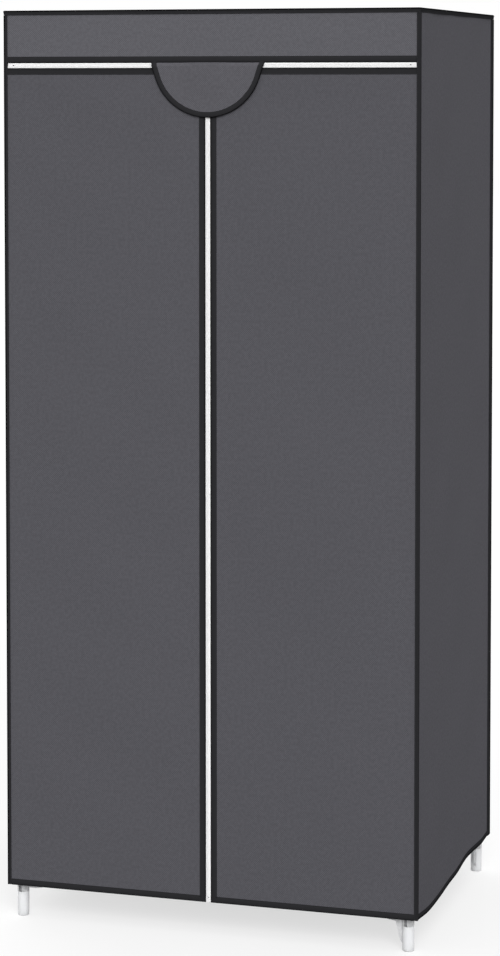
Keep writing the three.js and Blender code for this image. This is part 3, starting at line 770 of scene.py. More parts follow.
def corner_section(first, second, dark=1.0, thick=1.4 * MM, shaded_fold=STRIP_DARK):
    """The outline of a padded strip folded round a corner, with a leg along each face. The second
    leg is dark as far as shaded_fold from the fold: partly painted shade"""
    inset = settings().tape.stitch_inset
    centre, radius = 1.5 * MM, 2.0 * MM

    def leg(length, reach, turned):
        wide = [(reach + 3.2 * MM, 0.01 * thick), (reach + 1.4 * MM, -0.05 * MM)]
        outline = [
            (length, thick), (length, 0.5 * thick), (length - 0.3 * MM, 0.1 * thick),
            (length - inset + 0.5 * MM, 0), (length - inset, 0.3 * thick),
            (length - inset - 0.5 * MM, 0.02 * thick), *(wide if reach > STRIP_DARK else []),
            (2.6 * MM, -0.1 * MM),
        ]
        return [(b, a, length - a, dark * near_fold(a - reach)) if turned else
                (a, b, length - a, dark * near_fold(a - reach)) for a, b in outline]

    angles = [math.radians(270 - 15 * step) for step in range(7)]
    bend = [(centre + radius * math.cos(a), centre + radius * math.sin(a), first, dark)
            for a in angles]
    return (leg(first, STRIP_DARK, False) + bend + leg(second, shaded_fold, True)[::-1]
            + [(thick, thick, first, 0)])


def polyline(corners, inwards, step, fine_near=()):
    """Points along straight runs, each with its direction inwards. A corner's own direction is
    the sum of its two runs' directions, so that the tape is mitred there"""
    path, directions = [], []
    for run, (start, stop) in enumerate(zip(corners, corners[1:])):
        start, stop = np.asarray(start, float), np.asarray(stop, float)
        axis = int(np.argmax(np.abs(stop - start)))
        values = spaced(start[axis], stop[axis], step, fine_near if axis == 0 else ())
        shares = (values - start[axis]) / (stop[axis] - start[axis])
        for share in shares if run == 0 else shares[1:]:
            path.append(start + (stop - start) * share)
            directions.append(inwards[run])
        if run + 1 < len(inwards):
            directions[-1] = directions[-1] + inwards[run + 1]
    return path, directions


def make_valance_tape():
    """The tape on the valance's lower edge"""
    path = [(x, FRONT_Y, VALANCE_LOW_Z) for x in spaced(-HINGE_X, HINGE_X, TAPE_STEP)]
    piece = sweep("valance_tape", path, Z, -Y, folded_section(settings().tape.width),
                  tape_finish())
    return stands_for(piece, "frame", "valance_binding")


def make_hem_tape():
    """The tape on the wavy hem of the left side, the back and the right side"""
    low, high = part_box("left_panel")
    hem_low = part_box("hem_binding")[0]
    y = spaced(hem_low.y, BACK_Y, WAVY_TAPE_STEP)
    share = (y - low.y) / (high.y - low.y)
    z = hem_height(y) - (low.z - hem_low.z)
    width, corner = 2 * SIDE_X, 1.2 * MM
    x = spaced(-SIDE_X + corner, SIDE_X - corner, TAPE_STEP)
    left = np.stack([-SIDE_X - hem_flutter(1 - share), y, z], axis=1)[:-1]
    back = np.stack([x, BACK_Y + hem_flutter((width / 2 - x) / width),
                     HEM_Z + hem_lift(SIDE_X - np.abs(x))], axis=1)
    right = np.stack([SIDE_X + hem_flutter(share), y, z], axis=1)[-2::-1]
    outward = np.repeat([-X, Y, X], [len(left), len(back), len(right)], axis=0)
    # The hem's dark fold, partly painted shade, reaches 1.4 mm further
    piece = sweep("hem_tape", np.concatenate([left, back, right]), Z, outward,
                  folded_section(settings().tape.width - 1 * MM, shaded_fold=1.4 * MM), tape_finish())
    return stands_for(piece, "frame", "hem_binding")


def make_corner_strips():
    """The strips down the four corners and the ring round the top"""
    made = {}
    ring_low, ring_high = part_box("top_binding")
    x, front, back, top = ring_high.x, ring_low.y, ring_high.y, ring_high.z
    for end, sign_y in ENDS:
        for name, side in SIDES:
            low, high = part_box(f"corner_binding_{end}_{name}")
            wide, deep, _ = high - low
            # The dark folds are partly painted shade: faint on the front right strip, full on the
            # front left one, and wide on the back strips
            if end == "front":
                start, y = low.z, low.y
                section = corner_section(wide, deep, dark=0.15 if side > 0 else 1)
            else:
                start, y = HEM_Z + HEM_LIFT, high.y
                section = corner_section(wide, deep + 9 * MM, thick=1 * MM, shaded_fold=6 * MM)
            path = [(side * x, y, z) for z in spaced(start + 0.8 * MM, high.z, STRIP_STEP)]
            made[f"{end}_{name}"] = stands_for(
                sweep(f"corner_strip_{end}_{name}", path, -side * X, -sign_y * Y, section,
                      tape_finish()), "frame", f"corner_binding_{end}_{name}")
    turns = np.array([(-x, front, top), (x, front, top), (x, back, top), (-x, back, top)])
    inwards = [Y, -X, -Y, X]
    path, inward = [], []
    for run, (start, stop) in enumerate(zip(turns, np.roll(turns, -1, axis=0))):
        count = round(math.dist(start, stop) / STRIP_STEP)
        for step in range(count):
            path.append(start + (stop - start) * (step / count))
            inward.append(inwards[run] + (inwards[run - 1] if step == 0 else 0))
    leg = top - ring_low.z
    # The top strip's second leg has a narrower dark fold, partly painted shade
    piece = sweep("top_strip", path, inward, -Z, corner_section(leg, leg, shaded_fold=0.6 * MM),
                  tape_finish(), closed=True)
    made["top"] = stands_for(piece, "frame", "top_binding")
    return made


# Zips

UPRIGHT_SLIDE = 1337 * MM
LEVEL_SLIDE = 328 * MM
ZIP_TAPE_INNER = 0.65 * MM
SLIDER_WEB = 1 * MM
SLIDER_SHIFT = 1.2 * MM
SLIDER_HALF = size_of("upright_slider").z / 2 - 1 * MM


def slider_shift(name):
    """The level sliders stay a little nearer the middle, clear of the seam that a door bends"""
    return dict(SIDES).get(name, 0) * SLIDER_SHIFT


def slider_place(name):
    """The middle of a closed zip's slider"""
    return middle_of(f"{name}_slider") - slider_shift(name) * Vector(X)


def zip_teeth(name, middle, along, outward, length, offset=0.0, parked=0.0):
    """A row of moulded teeth on one half of a zip. outward points to that half's own tape. The
    teeth round the parked slider's web don't reach the middle line"""
    zips = settings().zip
    foot, gap = DOOR_EDGE_X - 0.3 * MM, 0.5 * MM
    ring = [(1, -0.8), (1, 0.8), (0.88, 1), (-0.88, 1), (-1, 0.8), (-1, -0.8), (-0.88, -1),
            (0.88, -1)]
    if np.dot(np.cross(along, Y), outward) < 0:
        ring.reverse()

    def tooth(reach):
        """Rings of points from the foot to the tip: distance out, half width, half depth"""
        stations = [
            (foot, 0.66, 0.7), (foot - 0.3 * MM, 0.84, 1.0), (1.7 * MM, 0.84, 1.0),
            (1.2 * MM, 0.44, 1.0), (0.3 * MM - reach, 0.44, 0.95), (-reach, 0.36, 0.7),
        ]
        return np.array([outward * a + along * (c * thin * MM) + Y * (s * deep * MM)
                         for a, thin, deep in stations for c, s in ring])

    whole, short = tooth(zips.reach), tooth(-gap)
    count = int((length - offset) / zips.pitch)
    places = (np.arange(count) + 0.5) * zips.pitch + offset
    at_web = np.abs(places - parked) < SLIDER_WEB + 0.6 * MM
    teeth = np.where(at_web[:, None, None], short, whole)
    points = (np.asarray(middle) + teeth + along * places[:, None, None]).reshape(-1, 3)
    one = ring_faces(len(whole) // len(ring), len(ring))
    faces = [[i + n * len(whole) for i in face] for n in range(count) for face in one]
    return make_piece(name, points, faces, teeth_finish(), sharp=60)


def zip_tape(name, start, along, outward, length, near=()):
    """The woven tape behind one half of a zip"""
    inner, outer, half = ZIP_TAPE_INNER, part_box("right_zip_upright")[1].x, 0.25 * MM
    section = [
        (inner, half), (inner + 0.3 * MM, 1.4 * half), (outer - 1 * MM, half),
        (outer - 0.2 * MM, 1.3 * half), (outer, half), (outer, -half),
        (outer - 0.2 * MM, -1.3 * half), (outer - 1 * MM, -half), (inner + 0.3 * MM, -half),
        (inner, -half),
    ]
    path = np.asarray(start) + spaced(0, length, 10 * MM, near)[:, None] * along
    return sweep(name, path, outward, -Y, [(a, b, a, 0) for a, b in section], zip_tape_finish())


def door_seam(side):
    """Where the cloth of a door starts and ends its bend"""
    return (side * HINGE_X, 0, 0), (side * (HINGE_X - DOOR_SEAM), 0, 0)


def make_zips():
    """Both halves of the upright zip and of the level one"""
    pitch = settings().zip.pitch
    low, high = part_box("left_zip_upright")
    tape_y, coil_y, hem = high.y - 0.9 * MM, FRONT_Y + 0.2 * MM, low.z
    made = {"left": [], "right": []}
    upright, level = slider_place("upright").z, slider_place("right").x
    coil_top, level_start = upright - SLIDER_HALF, level + SLIDER_HALF
    level_long, level_parked = HINGE_X - level_start, level + LEVEL_SLIDE - level_start
    for name, side in SIDES:
        out, door = side * X, f"{name}_door"
        tape = zip_tape(f"upright_zip_tape_{name}", (0, tape_y, hem), Z, out, high.z - hem)
        teeth = zip_teeth(f"upright_zip_teeth_{name}", (0, coil_y, hem), Z, out, coil_top - hem,
                          pitch / 2 if side > 0 else 0, upright - UPRIGHT_SLIDE - hem)
        for piece in (tape, teeth):
            made[name].append(stands_for(piece, door, f"{name}_zip_upright"))
        tape = zip_tape(f"level_zip_tape_{name}", (side * ZIP_TAPE_INNER, tape_y, LEVEL_ZIP_Z),
                        out, -Z, HINGE_X - ZIP_TAPE_INNER, near=(HINGE_X - ZIP_TAPE_INNER,))
        teeth = zip_teeth(f"level_zip_teeth_{name}", (side * level_start, coil_y, LEVEL_ZIP_Z),
                          out, -Z, level_long, parked=level_parked)
        for piece in (tape, teeth):
            hang(piece, door, *door_seam(side), "zip", f"{name}_zip_level")
            made[name].append(piece)
    made["valance"] = [
        zip_tape("valance_zip_tape", (-HINGE_X, tape_y, LEVEL_ZIP_Z), X, Z, 2 * HINGE_X)]
    for name, side in SIDES:
        made["valance"].append(zip_teeth(
            f"valance_zip_teeth_{name}", (side * level_start, coil_y, LEVEL_ZIP_Z), side * X, Z,
            level_long, pitch / 2, level_parked))
    for piece in made["valance"]:
        stands_for(piece, "frame", "valance_zip")
    return made


# Joined and cut solids

def lathe(profile, closed=False, sides=40):
    """Points and faces of a solid turned about +Z, from rows of radius and height. A closed
    profile is a ring's section; an open one has a flat end at each side"""
    angles = np.arange(sides) * 2 * np.pi / sides
    circle = list(zip(np.cos(angles), np.sin(angles)))
    points = [(r * c, r * s, z) for r, z in profile for c, s in circle]
    return np.array(points), ring_faces(len(profile), sides, closed)


def turned_to(solid, axis):
    """A solid along +Z turned so that it lies along another axis"""
    rotation = Vector(Z).rotation_difference(Vector(axis)).to_matrix()
    return solid[0] @ np.array(rotation).T, solid[1]


def temporary(points, faces):
    """An object that only helps to cut or join others"""
    mesh = bpy.data.meshes.new("temporary")
    mesh.from_pydata(np.asarray(points).tolist(), [], faces)
    return add_object("temporary", mesh)


def joined_and_cut(first, joins, cuts):
    """Points and faces of the first solid with others joined to it and cut from it"""
    body = temporary(*first)
    helpers = []
    for operation, solids in (("UNION", joins), ("DIFFERENCE", cuts)):
        for solid in solids:
            helper = temporary(*solid)
            modifier = body.modifiers.new(operation, "BOOLEAN")
            modifier.operation, modifier.solver, modifier.object = operation, "EXACT", helper
            helpers.append(helper)
    view = bpy.context.evaluated_depsgraph_get()
    mesh = bpy.data.meshes.new_from_object(body.evaluated_get(view))
    points = np.array([v.co[:] for v in mesh.vertices])
    faces = [list(p.vertices) for p in mesh.polygons]
    bpy.data.meshes.remove(mesh)
    for thing in helpers + [body]:
        data = thing.data
        bpy.data.objects.remove(thing)
        bpy.data.meshes.remove(data)
    return points, faces


def placed(solid, place, mirror=(1, 1, 1)):
    """A solid mirrored and moved"""
    points, faces = solid
    if np.prod(mirror) < 0:
        faces = [face[::-1] for face in faces]
    return points * np.array(mirror) + np.array(place), faces


def plate(outline, axis, half):
    """A flat plate: an outline in the plane across axis, thickened both ways"""
    outline = np.asarray(outline, float)
    points = np.concatenate([outline - axis * half, outline + axis * half])
    return points, ring_faces(2, len(outline))


# Frame

TUBE_RADIUS = size_of("hanging_rod").z / 2
SOCKET_RADIUS = 9.8 * MM
SOCKET_BORE = 6.8 * MM
SOCKET_REACH = 35 * MM
SOCKET_STOP = 12 * MM
MOUTH = 0.6 * MM
PAST = 5 * MM


def tube_piece(node):
    """A length of tube in the place of a CAD node"""
    low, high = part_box(node)
    size = high - low
    axis = max(range(3), key=lambda k: size[k])
    wall = settings().frame.tube_wall
    radius, bore, long, edge = TUBE_RADIUS, TUBE_RADIUS - wall, size[axis], 0.12 * MM
    outside = [(radius - edge, 0), (radius, edge)]
    inside = [(bore, 0)]
    if node.startswith("upper_post"):
        narrow, spigot, taper = bore - 0.3 * MM, 30 * MM, 5 * MM
        outside = [(narrow - edge, 0), (narrow, edge), (narrow, spigot), (radius, spigot + taper)]
        inside = [(bore, spigot + taper), (narrow - wall, spigot), (narrow - wall, 0)]
    ring = outside + [(radius, long - edge), (radius - edge, long), (bore, long)] + inside
    start = middle_of(node)
    start[axis] = low[axis]
    solid = placed(turned_to(lathe(ring, closed=True), np.eye(3)[axis]), start)
    stands_for(make_piece(f"steel_{node}", *solid, tube_finish()), "frame", node)


def make_tubes():
    """Posts in two lengths, the rails at both levels and the rod"""
    for end, _ in ENDS:
        for name, _ in SIDES:
            tube_piece(f"lower_post_{end}_{name}")
            tube_piece(f"upper_post_{end}_{name}")
    for level in ("bottom", "top"):
        for edge in EDGES:
            tube_piece(f"{level}_rail_{edge}")
    tube_piece("hanging_rod")


def bore_from(start):
    """The hole of a socket from a place on its axis, widened at its mouth"""
    mouth = SOCKET_BORE + MOUTH
    return lathe([(SOCKET_BORE, start), (SOCKET_BORE, SOCKET_REACH - MOUTH),
                  (mouth, SOCKET_REACH), (mouth, SOCKET_REACH + PAST)])


def socket_solids(axis):
    """The outside and the bore of a socket along an axis from the connector's middle"""
    outside = lathe([
        (SOCKET_RADIUS, 0), (SOCKET_RADIUS, SOCKET_REACH - MOUTH),
        (SOCKET_RADIUS - 0.25 * MOUTH, SOCKET_REACH - 0.3 * MOUTH),
        (SOCKET_RADIUS - MOUTH, SOCKET_REACH)])
    return [turned_to(solid, axis) for solid in (outside, bore_from(SOCKET_STOP))]


# Lower edges of a foot's two gussets, in millimetres out from the foot and down from the socket
RIB = ((25.2, 1.5), (23.4, 4), (12, 5.4), (0, 5.4))
WEB = RIB[:3] + ((10.4, 7), (9.1, 11), (6.4, 21.7), (4.8, 31), (2.8, 36), (1.2, 38.4), (0, 40))


def gusset(axis, edge):
    """A thin plate under a level socket, down to one of the edges above"""
    thick, top = 3 * MM, 1.5 * MM - SOCKET_RADIUS
    outline = [(0, top), (SOCKET_REACH, top)]
    outline += [(SOCKET_RADIUS + out * MM, -SOCKET_RADIUS - down * MM) for out, down in edge]
    outline.append((0, outline[-1][1]))
    return plate([a * axis + b * Z for a, b in outline], np.cross(axis, Z), thick / 2)


def make_connectors():
    """Feet, top corners and the holders of the hanging rod"""
    radius, inner = SOCKET_RADIUS, SOCKET_RADIUS - MOUTH
    axis_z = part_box("foot_connector_front_left")[1].z - SOCKET_REACH
    x_sockets, y_sockets = socket_solids(X), socket_solids(Y)
    tip, edge, taper = 9.4 * MM, 1.2 * MM, 45 * MM
    foot = lathe([(tip - edge * (1 - math.sin(a)), edge * (1 - math.cos(a)) - axis_z)
                  for a in np.linspace(0, math.pi / 2, 5)]
                 + [(radius, taper - axis_z), (radius, SOCKET_REACH - MOUTH),
                    (inner, SOCKET_REACH)])
    post_hole = bore_from(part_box("lower_post_front_left")[0].z - 0.3 * MM - axis_z)
    bottoms = [joined_and_cut(
        foot, [x_sockets[0], y_sockets[0], gusset(X, along_x), gusset(Y, along_y)],
        [post_hole, x_sockets[1], y_sockets[1]]) for along_x, along_y in ((WEB, RIB), (RIB, WEB))]
    down = socket_solids(-Z)
    core = lathe([(radius, -radius), (radius, inner), (inner, radius)])
    corner = joined_and_cut(core, [down[0], x_sockets[0], y_sockets[0]],
                            [down[1], x_sockets[1], y_sockets[1]])
    holder_low, holder_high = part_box("rod_holder_left")
    half = (holder_high.y - holder_low.y) / 2
    sleeve = turned_to(lathe([(inner, -half), (radius, MOUTH - half), (radius, half - MOUTH),
                              (inner, half)]), Y)
    passage = turned_to(lathe([(SOCKET_BORE, -2 * half), (SOCKET_BORE, 2 * half)]), Y)
    holder = joined_and_cut(sleeve, [x_sockets[0]], [passage, x_sockets[1]])

    def put(name, node, solid, place, mirror):
        """A moulding in its place, mirrored for its corner"""
        piece = make_piece(f"plastic_{name}", *placed(solid, place, mirror), plastic_finish())
        stands_for(piece, "frame", node)

    top_z = sum(c.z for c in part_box("hanging_rod")) / 2
    for end, sign_y in ENDS:
        for name, side in SIDES:
            low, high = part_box(f"lower_post_{end}_{name}")
            x, y = (low.x + high.x) / 2, (low.y + high.y) / 2
            bottom = bottoms[side == sign_y]
            for kind, solid, z in (("foot", bottom, axis_z), ("top", corner, top_z)):
                put(f"{kind}_{end}_{name}", f"{kind}_connector_{end}_{name}", solid, (x, y, z),
                    (-side, -sign_y, 1))
    middle_y = (holder_low.y + holder_high.y) / 2
    post_x = sum(c.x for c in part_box("top_rail_right")) / 2
    for name, side in SIDES:
        put(f"rod_holder_{name}", f"rod_holder_{name}", holder, (side * post_x, middle_y, top_z),
            (-side, 1, 1))


# Doors

def make_doors(zips):
    """Each door's sheet, and the tape folded over its top, middle and bottom edges"""
    low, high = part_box("right_door_panel")
    under = HINGE_X + DOOR_TUCK
    wide = under - low.x
    size = (wide, high.z - low.z)
    for name, side in SIDES:
        body = f"{name}_door"
        start_x, seam = (low.x, wide - DOOR_TUCK) if side > 0 else (-under, DOOR_TUCK)
        sheet = panel(f"door_cloth_{name}", (start_x, FRONT_Y, low.z), X, Z, size, "door",
                      seed=61 + side, seam=(seam, seam - side * DOOR_SEAM))
        hang(sheet, body, *door_seam(side), "cloth", f"{name}_door_panel")
        hinge, edge = side * HINGE_X, side * DOOR_EDGE_X
        path, inward = polyline(
            [(hinge, FRONT_Y, DOOR_TOP_Z), (edge, FRONT_Y, DOOR_TOP_Z), (edge, FRONT_Y, HEM_Z),
             (hinge, FRONT_Y, HEM_Z)], [-Z, side * X, Z], TAPE_STEP, fine_near=(hinge,))
        tape = sweep(f"door_tape_{name}", path, inward, -Y, folded_section(settings().tape.width),
                     tape_finish())
        hang(tape, body, *door_seam(side), "binding", f"{name}_door_binding")
        [tape] + zips[name]


# Flap

FLAP_RADIUS = 92.5 * MM
FLAP_RISE = 5 * MM
FLAP_LEAN = math.radians(18)
FLAP_TAPE = 8.8 * MM
FLAP_SEAM = 8 * MM
FLAP_TOP = VALANCE_LOW_Z + 0.8 * MM

# How far the flap stands out from the cover: at its seam, over the sliders and over the zip
FLAP_OUT_SEAM = 0.4 * MM
FLAP_OUT_SLIDER = 6 * MM
FLAP_OUT_ZIP = 3.6 * MM


def flap_outline(inset, sides=44):
    """The flap's edge as rows of x and z, from its right top corner round to its left one"""
    radius, centre = FLAP_RADIUS - inset, VALANCE_LOW_Z + FLAP_RISE
    across, down = radius * math.cos(FLAP_LEAN), radius * math.sin(FLAP_LEAN)
    run = (FLAP_TOP - centre + down) / math.cos(FLAP_LEAN)
    corner = across + run * math.sin(FLAP_LEAN)
    straight = [(corner + (across - corner) * s, FLAP_TOP + (centre - down - FLAP_TOP) * s)
                for s in np.concatenate([np.linspace(0, 0.5, 38), np.linspace(0.6, 0.9, 4)])]
    angles = np.linspace(-FLAP_LEAN, FLAP_LEAN - math.pi, sides + 1)
    arc = [(radius * math.cos(a), centre + radius * math.sin(a)) for a in angles]
    return np.array(straight + arc + [(-x, z) for x, z in reversed(straight)])


def flap_y(x, z):
    """The flap comes out from under the valance's tape, passes over the sliders and falls back"""
    below = FLAP_TOP - z
    aside = smooth((np.abs(x) - 16 * MM) / (30 * MM))
    over_slider = (FLAP_OUT_SEAM
                   + (FLAP_OUT_SLIDER - FLAP_OUT_SEAM) * smooth(below / (3.6 * MM)))
    over_zip = FLAP_OUT_ZIP * smooth(below / (6 * MM))
    out = over_slider + (over_zip - over_slider) * aside
    back = 2.2 * MM * smooth((below - 14 * MM) / (60 * MM)) * (1 - aside)
    wave = 0.3 * MM * np.sin(x * 60 + 0.4) * np.sin(z * 45) * smooth(below / (20 * MM))
    return FRONT_Y - out + back + wave


def make_flap():
    """The flap's sheet, and the tape round its edge"""
    edge = flap_outline(0.8 * MM)
    right = edge[:len(edge) // 2 - 1][::-1]
    x = right[:, 0] * np.linspace(-1, 1, 31)[:, None]
    z = np.broadcast_to(right[:, 1], x.shape)
    top = right[-1][1]
    line = top + (z - top)[..., None] * np.linspace(0, 1, 41)
    length = np.hypot(np.diff(line), np.diff(flap_y(x[..., None], line))).sum(axis=2)
    flat = np.stack([x, -length - SEAM_EASE * np.minimum(length, FLAP_SEAM)], axis=2)
    sheet = closed_sheet("flap_cloth", np.stack([x, flap_y(x, z), z], axis=2), flat,
                         cloth_finish("flap"))
    rim = flap_outline(0)
    tangent = np.gradient(rim, axis=0)
    tangent /= np.linalg.norm(tangent, axis=1, keepdims=True)
    inward = np.stack([tangent[:, 1], np.zeros(len(rim)), -tangent[:, 0]], axis=1)
    section = divided(folded_section(FLAP_TAPE, slack=0.15 * MM), 0.9 * MM)
    tape = sweep("flap_tape", np.insert(rim, 1, 0, axis=1), inward, -Y, section, tape_finish())
    for vertex in tape.data.vertices:
        vertex.co.y += flap_y(vertex.co.x, vertex.co.z)
    start, end = (0, 0, VALANCE_LOW_Z), (0, 0, VALANCE_LOW_Z - FLAP_SEAM)
    hang(sheet, "flap", start, end, "cloth", "flap_panel")
    hang(tape, "flap", start, end, "binding", "flap_binding")
    (dx, ex), (dl, el) = ((part[1:, 1:] - part[:-1, :-1], part[1:, :-1] - part[:-1, 1:])
                          for part in (x, length))
    area = np.abs(dx * el - dl * ex).sum() / 2


# Sliders

def rounded(points, size):
    """Corners of an outline cut off in two steps"""
    made = []
    for before, here, after in zip(points[-1:] + points[:-1], points, points[1:] + points[:1]):
        for share, other in ((size, before), (size * 0.35, before), (size * 0.35, after),
                             (size, after)):
            apart = math.dist(here, other)
            step = min(share, 0.3 * apart) / apart
            made.append((here[0] + (other[0] - here[0]) * step,
                         here[1] + (other[1] - here[1]) * step))
    return made


def make_sliders():
    """Each zip's slider and the woven pull on its bail"""
    low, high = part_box("upright_slider")
    half_long, half_wide, nose = SLIDER_HALF, 3.5 * MM, 2.8 * MM
    half = 0.6 * MM
    front_y, back_y = FRONT_Y - 2.9 * MM, high.y - half
    shape = rounded([(-nose, -half_long), (nose, -half_long), (half_wide, 0),
                     (half_wide, half_long - nose), (nose, half_long), (-nose, half_long),
                     (-half_wide, half_long - nose), (-half_wide, 0)], 1 * MM)

    def pillow(y):
        """A plate whose edges are rounded over"""
        rings = [(0.86, half), (0.97, 0.6 * half), (1, 0), (0.97, -0.6 * half), (0.86, -half)]
        points = [(x * s, y + d, z * s) for s, d in rings for x, z in shape]
        return np.array(points), ring_faces(len(rings), len(shape))

    long, wide, middle_y = SLIDER_WEB, 0.35 * MM, (front_y + back_y) / 2
    web = plate([(x, middle_y, z) for x, z in
                 ((-wide, -long), (wide, -long), (wide, long), (-wide, long))],
                -Y, (back_y - front_y) / 2)
    reach, post, foot_y, inner_y = 2.4 * MM, 0.6 * MM, front_y + half, low.y + 0.7 * MM
    side_view = rounded([
        (-reach - post, foot_y), (-reach - post, low.y), (reach + post, low.y),
        (reach + post, foot_y), (reach - post, foot_y), (reach - post, inner_y),
        (post - reach, inner_y), (post - reach, foot_y)], 0.45 * MM)
    bail = plate([(0, y, z) for z, y in side_view], X, 0.65 * MM)
    points, faces = joined_and_cut(pillow(foot_y), [pillow(back_y), web, bail], [])
    half_width, half_depth = 2.6 * MM, 0.35 * MM
    ribbon_section = [(a, b, a + 3 * MM, 0) for a, b in rounded(
        [(-half_width, -half_depth), (half_width, -half_depth), (half_width, half_depth),
         (-half_width, half_depth)], 0.25 * MM)]
    for name, angle in (("upright", 0), ("left", -math.pi / 2), ("right", math.pi / 2)):
        place = slider_place(name)
        cos, sin = math.cos(angle), math.sin(angle)
        turned = np.stack([points[:, 0] * cos + points[:, 2] * sin, points[:, 1],
                           points[:, 2] * cos - points[:, 0] * sin], axis=1)
        piece = make_piece(f"cast_slider_{name}", turned + np.array([place.x, 0, place.z]), faces,
                           slider_finish())
        stands_for(piece, f"{name}_zip_slider", f"{name}_slider")
        pull_low, pull_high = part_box(f"{name}_pull")
        x, y, _ = middle_of(f"{name}_pull")
        heights = spaced(pull_low.z, pull_high.z, 1.5 * MM)
        sway = 0.25 * MM * np.sin((heights - pull_low.z) * 180)
        path = [(x - slider_shift(name), y + s, z) for s, z in zip(sway, heights)]
        pull = sweep(f"ribbon_pull_{name}", path, X, -Y, ribbon_section, ribbon_finish())
        stands_for(pull, f"{name}_zip_slider", f"{name}_pull")


# Studio

WHITE = (1, 1, 1, 1)
FLOOR_HALF = 30.0
LAMPS = {"key": (35, (0.205, -0.475, 0.3)), "fill": (60, (-0.2, 0.25, 0.08))}


def make_stage():
    """Floor, even sky, two soft lamps and the camera"""
    scene, studio = bpy.context.scene, settings().studio
    mesh = bpy.data.meshes.new("floor")
    mesh.from_pydata([(x * FLOOR_HALF, y * FLOOR_HALF, 0)
                      for x, y in ((-1, -1), (1, -1), (1, 1), (-1, 1))], [], [(0, 1, 2, 3)])
    add_object("floor", mesh)
    shader, base = new_material("pale_floor"), studio.floor
    grain = shader.noise(shader.object_places(), 6.0)
    tone = shader.mix(grain, [base * 0.99] * 3 + [1], [base * 1.01] * 3 + [1])
    matt = shader.node("ShaderNodeBsdfDiffuse", {}, {"Color": tone})
    glow = shader.node("ShaderNodeEmission", {},
                       {"Color": WHITE, "Strength": shader.seen() * (1.01 - base)})
    both = shader.node("ShaderNodeAddShader", {}, {0: matt, 1: glow})
    shader.node("ShaderNodeOutputMaterial", {}, {"Surface": both})
    mesh.materials.append(shader.owner)

    scene.world = bpy.data.worlds.new("studio")
    shader = Shader(scene.world)
    white, even = (shader.node("ShaderNodeBackground", {}, {"Color": WHITE, "Strength": strength})
                   for strength in (1.0, studio.sky))
    light = shader.node("ShaderNodeMixShader", {}, {0: shader.seen(), 1: even, 2: white})
    shader.node("ShaderNodeOutputWorld", {}, {"Surface": light})

    for name, (spread, towards) in LAMPS.items():
        lamp = bpy.data.lights.new(name, "SUN")
        lamp.energy, lamp.angle = getattr(studio, name), math.radians(spread)
        thing = add_object(name, lamp)
        thing.rotation_mode = "QUATERNION"
        thing.rotation_quaternion = Vector(towards).to_track_quat("Z", "Y")

    lens = bpy.data.cameras.new("camera")
    lens.lens, lens.shift_y = studio.lens, studio.drop
    camera = add_object("camera", lens)
    azimuth, pitch = studio.azimuth, studio.pitch
    back = Vector((math.sin(azimuth) * math.cos(pitch), -math.cos(azimuth) * math.cos(pitch),
                   math.sin(pitch)))
    camera.location = studio.place
    camera.rotation_mode = "QUATERNION"
    camera.rotation_quaternion = (-back).to_track_quat("-Z", "Y")
    scene.camera = camera
    scene.view_settings.view_transform = "Standard"


# Operators

class WARDROBE_OT_tubes(bpy.types.Operator):
    """Makes the posts, the rails and the hanging rod"""
    bl_idname = "wardrobe.tubes"
    bl_label = "Tubes"

    def execute(self, context):
        make_tubes()
        return {"FINISHED"}


class WARDROBE_OT_connectors(bpy.types.Operator):
    """Makes the feet, the top corners and the rod's holders"""
    bl_idname = "wardrobe.connectors"
    bl_label = "Connectors"

    def execute(self, context):
        make_connectors()
        return {"FINISHED"}


class WARDROBE_OT_cover(bpy.types.Operator):
    """Makes the cover's fixed sheets, their tapes and the zips, and the doors that zip to them"""
    bl_idname = "wardrobe.cover"
    bl_label = "Cover and doors"

    def execute(self, context):
        sheets = make_cover()
        strips = make_corner_strips()
        valance_tape = make_valance_tape()
        hem_tape = make_hem_tape()
        zips = make_zips()
        make_doors(zips)
        depth, tall = flat_size("left_panel")
        for name, held, rests_on, with_pieces in (
                ("back", "hung", ["top_rail_back"], [hem_tape]),
                ("top", "stretched", [f"top_rail_{edge}" for edge in EDGES], [strips["top"]]),
                ("valance", "hung", ["top_rail_front"], [valance_tape] + zips["valance"])):
            flat_size(f"{name}_panel")
        return {"FINISHED"}


class WARDROBE_OT_bottom(bpy.types.Operator):
    """Makes the cloth bottom on the lower rails"""
    bl_idname = "wardrobe.bottom"
    bl_label = "Bottom"

    def execute(self, context):
        make_bottom()
        return {"FINISHED"}


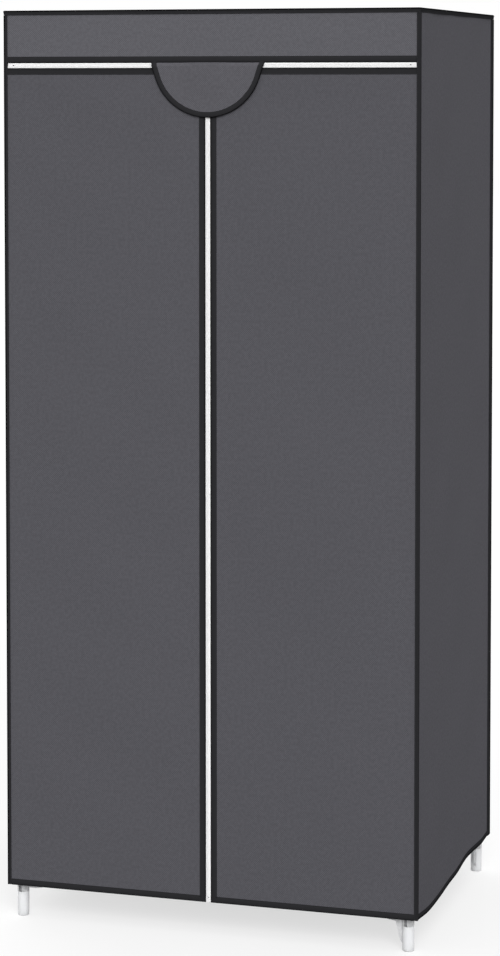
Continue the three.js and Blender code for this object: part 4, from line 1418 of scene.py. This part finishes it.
class WARDROBE_OT_sliders(bpy.types.Operator):
    """Makes the zip sliders and their pulls"""
    bl_idname = "wardrobe.sliders"
    bl_label = "Zip sliders"

    def execute(self, context):
        make_sliders()
        return {"FINISHED"}


class WARDROBE_OT_flap(bpy.types.Operator):
    """Makes the flap over the crossing of the zips"""
    bl_idname = "wardrobe.flap"
    bl_label = "Flap"

    def execute(self, context):
        make_flap()
        return {"FINISHED"}


class WARDROBE_OT_stage(bpy.types.Operator):
    """Makes the floor, the lamps and the camera"""
    bl_idname = "wardrobe.stage"
    bl_label = "Stage"

    def execute(self, context):
        make_stage()
        return {"FINISHED"}


OPERATORS = (WARDROBE_OT_tubes, WARDROBE_OT_connectors, WARDROBE_OT_cover, WARDROBE_OT_bottom,
             WARDROBE_OT_sliders, WARDROBE_OT_flap, WARDROBE_OT_stage)


class WARDROBE_PT_panel(bpy.types.Panel):
    """Lists the settings and the steps"""
    bl_idname = "WARDROBE_PT_panel"
    bl_label = "Wardrobe"
    bl_space_type = "VIEW_3D"
    bl_region_type = "UI"
    bl_category = "Wardrobe"

    def draw(self, context):
        for name in ("cloth", "tape", "zip", "frame", "studio"):
            group = getattr(context.scene.wardrobe, name)
            box = self.layout.box()
            box.label(text=name.capitalize())
            for key in group.__annotations__:
                box.prop(group, key)
        for operator in OPERATORS:
            self.layout.operator(operator.bl_idname)


CLASSES = (ClothSettings, TapeSettings, ZipSettings, FrameSettings, StudioSettings,
           WardrobeSettings, *OPERATORS, WARDROBE_PT_panel)


def register():
    for item in CLASSES:
        bpy.utils.register_class(item)
    bpy.types.Scene.wardrobe = bpy.props.PointerProperty(type=WardrobeSettings)


def unregister():
    del bpy.types.Scene.wardrobe
    for item in reversed(CLASSES):
        bpy.utils.unregister_class(item)


def main():
    register()
    bpy.ops.wardrobe.tubes()
    bpy.ops.wardrobe.connectors()
    bpy.ops.wardrobe.cover()
    bpy.ops.wardrobe.bottom()
    bpy.ops.wardrobe.sliders()
    bpy.ops.wardrobe.flap()
    bpy.ops.wardrobe.stage()


if __name__ == "__main__":
    main()
